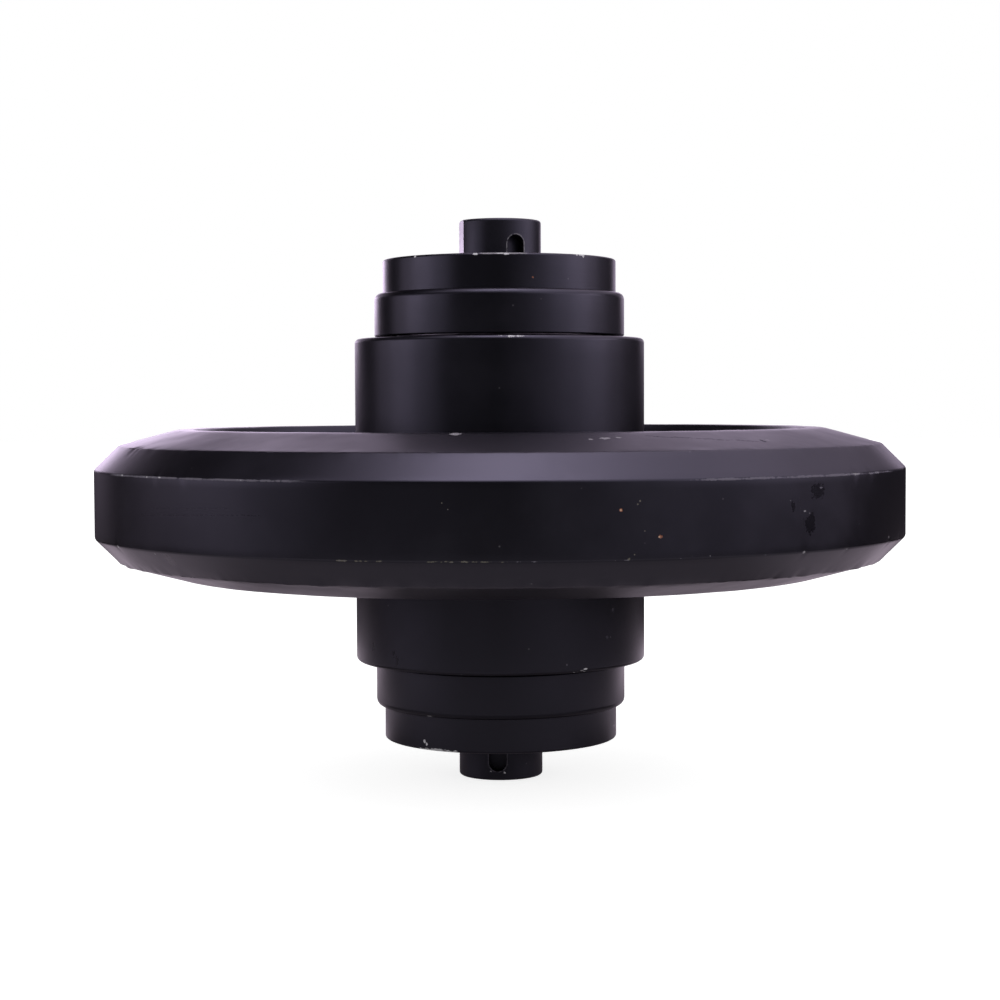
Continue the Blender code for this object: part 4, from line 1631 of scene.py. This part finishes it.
@dataclass
class Studio:
    """The camera at the photograph's angle, the pale floor, and the light."""

    eye: tuple[float, float, float] = (0.0, -1.045, 0.0493)
    tilt: float = 2.73
    roll: float = 0.23
    lens: float = 75.02
    floor_height: float = -0.1387
    floor_radius: float = 9.0
    floor_seen: float = 0.80
    room_radius: float = 1.9
    room_dark: float = 0.02
    day: float = 0.75
    bands: tuple[LampBand, ...] = (
        LampBand(0.0, 4.0, 10.0, (
            (-140.0, 0.17), (-100.0, 0.44), (-80.0, 0.65), (-60.0, 0.27), (-40.0, 0.06),
            (-20.0, 0.17), (20.0, 0.28), (40.0, 0.38), (60.0, 0.10),
        )),
        LampBand(8.0, 4.0, 10.0, (
            (-160.0, 3.73), (-100.0, 0.95), (-80.0, 3.08), (-60.0, 1.58), (40.0, 0.55),
            (60.0, 1.81), (80.0, 3.06), (100.0, 1.07), (120.0, 0.23), (160.0, 1.08),
        )),
        LampBand(18.0, 6.0, 15.0, (
            (-180.0, 1.66), (-150.0, 0.48), (-90.0, 0.34), (-60.0, 0.75),
            (30.0, 0.21), (60.0, 1.53), (90.0, 2.20), (150.0, 0.19),
        )),
        LampBand(34.0, 10.0, 22.5, ((-180.0, 0.58), (45.0, 1.24), (90.0, 1.20), (135.0, 0.55))),
        LampBand(56.0, 12.0, 30.0, ((-60.0, 0.91), (0.0, 1.82), (60.0, 1.77), (120.0, 1.35))),
        LampBand(79.0, 11.0, 60.0, ((-120.0, 1.31), (0.0, 4.94), (120.0, 2.45))),
    )
    rings: tuple[FloorRing, ...] = (
        FloorRing(0.0, 0.12, 0.15, 0.15, 0.15),
        FloorRing(0.12, 0.20, 0.37, 0.05, 0.63),
        FloorRing(0.20, 0.33, 0.28, 0.48, 0.40),
        FloorRing(0.33, 0.60, 0.52, 0.33, 0.95),
        FloorRing(0.60, 1.10, 0.23, 0.0, 0.0),
        FloorRing(1.10, 2.20, 0.14, 0.0, 0.09),
    )

    def camera(self) -> None:
        """Stand the camera where the photographer stood."""
        lens = bpy.data.cameras.new("photo_camera")
        lens.lens = self.lens
        lens.sensor_width = 36.0
        lens.clip_start = 0.01
        stand = bpy.data.objects.new("photo_camera", lens)
        bpy.context.scene.collection.objects.link(stand)
        level = Matrix.Rotation(math.radians(90.0 - self.tilt), 4, "X")
        rolled = level @ Matrix.Rotation(math.radians(-self.roll), 4, "Z")
        stand.matrix_world = Matrix.Translation(self.eye) @ rolled
        bpy.context.scene.camera = stand

    @staticmethod
    def seen(graph: Graph, *rays: str) -> Value:
        """Give 1 on the rays that are named and 0 on the others."""
        path = graph.add("ShaderNodeLightPath")
        total: Value = 0.0
        for ray in rays:
            total = graph.math("MAXIMUM", total, path.outputs[ray])
        return total

    def world(self) -> None:
        """Light the scene evenly, and show white where nothing stands."""
        world = bpy.data.worlds.new("studio")
        world.use_nodes = True
        bpy.context.scene.world = world
        graph = Graph(world.node_tree)
        ground = world.node_tree.nodes["Background"]
        ground.inputs["Color"].default_value = WHITE
        seen = self.seen(graph, "Is Camera Ray", "Is Glossy Ray", "Is Transmission Ray")
        graph.feed(ground.inputs["Strength"], graph.blend(seen, self.day, 1.0))

    @staticmethod
    def stage_material(piece: Piece) -> tuple[Graph, Socket]:
        """Start a stage piece's material; its graph and its surface socket are returned."""
        material = bpy.data.materials.new(piece.name)
        material.use_nodes = True
        nodes = material.node_tree.nodes
        nodes.remove(nodes["Principled BSDF"])
        piece.data.materials.append(material)
        return Graph(material.node_tree), nodes["Material Output"].inputs["Surface"]

    def floor(self) -> None:
        """Lay the pale floor, which keeps the idler's shadow."""
        rest()
        place = (0.0, 0.0, self.floor_height)
        bpy.ops.mesh.primitive_circle_add(vertices=96, radius=self.floor_radius, fill_type="NGON", location=place)
        floor = bpy.context.active_object
        floor.name = "pale_floor"
        graph, surface = self.stage_material(floor)
        radius, turn, _ = graph.polar(graph.add("ShaderNodeNewGeometry").outputs["Position"])
        cosine = graph.math("COSINE", turn)
        mirrored: Value = 0.0
        for ring in self.rings:
            mirrored = graph.plus(ring.light(graph, radius, cosine), mirrored)
        camera = self.seen(graph, "Is Camera Ray", "Is Transmission Ray")
        glossy = self.seen(graph, "Is Glossy Ray")
        glow = graph.add("ShaderNodeEmission")
        strength = graph.math("MAXIMUM", graph.times(camera, self.floor_seen), graph.times(glossy, mirrored))
        graph.feed(glow.inputs["Strength"], strength)
        graph.feed(glow.inputs["Color"], graph.mix(glossy, WHITE, FLOOR_TONE))
        matt = graph.add("ShaderNodeBsdfDiffuse")
        graph.feed(matt.inputs["Color"], graph.mix(glossy, FLOOR_COLOUR, BLACK))
        both = graph.add("ShaderNodeAddShader")
        graph.feed(both.inputs[0], matt.outputs[0])
        graph.feed(both.inputs[1], glow.outputs[0])
        graph.feed(surface, both.outputs[0])

    def room(self) -> None:
        """Hang the dark room with its soft lamps; only reflections see it."""
        rest()
        bpy.ops.mesh.primitive_uv_sphere_add(segments=64, ring_count=32, radius=self.room_radius)
        room = bpy.context.active_object
        room.name = "dark_room"
        graph, surface = self.stage_material(room)
        radius, turn, height = graph.polar(graph.add("ShaderNodeNewGeometry").outputs["Position"])
        rise = graph.math("ARCTAN2", height, radius)
        light: Value = self.room_dark
        for band in self.bands:
            light = graph.plus(band.light(graph, turn, rise), light)
        glow = graph.add("ShaderNodeEmission")
        glow.inputs["Color"].default_value = LAMP_TONE
        graph.feed(glow.inputs["Strength"], light)
        graph.feed(surface, glow.outputs[0])
        for ray in ("camera", "diffuse", "shadow", "transmission", "volume_scatter"):
            setattr(room, f"visible_{ray}", False)

    def build(self) -> None:
        """Set up the whole studio."""
        self.camera()
        self.world()
        self.floor()
        self.room()
        bpy.context.scene.view_settings.view_transform = "Standard"
        log.info("studio: floor, room and camera")


def main() -> None:
    """Build the studio and every piece; each piece logs its face count."""
    Studio().build()
    bronze = BareMetal((0.55, 0.33, 0.14, 1.0), (0.30, 0.17, 0.07, 1.0), 0.30).material("turned_bronze")
    iron = BareMetal((0.30, 0.30, 0.31, 1.0), (0.17, 0.16, 0.16, 1.0), 0.26).material("lapped_iron")
    steel = BareMetal((0.42, 0.42, 0.43, 1.0), (0.26, 0.24, 0.23, 1.0), 0.26, 0.0003).material("ground_steel_pins")
    copper = BareMetal((0.60, 0.26, 0.15, 1.0), (0.33, 0.14, 0.08, 1.0), 0.32, 0.0004).material("soft_copper")
    rubber = Rubber().material("seal_rubber_black")
    Rim().build()
    Web().build()
    Hub().build()
    Axle().build(steel, copper)
    for side in Side:
        Bearing(side).build(bronze)
        FaceSeal(side).build(iron, rubber)
        Collar(side).build(steel, rubber)
    bpy.context.view_layer.update()


if __name__ == "__main__":
    main()
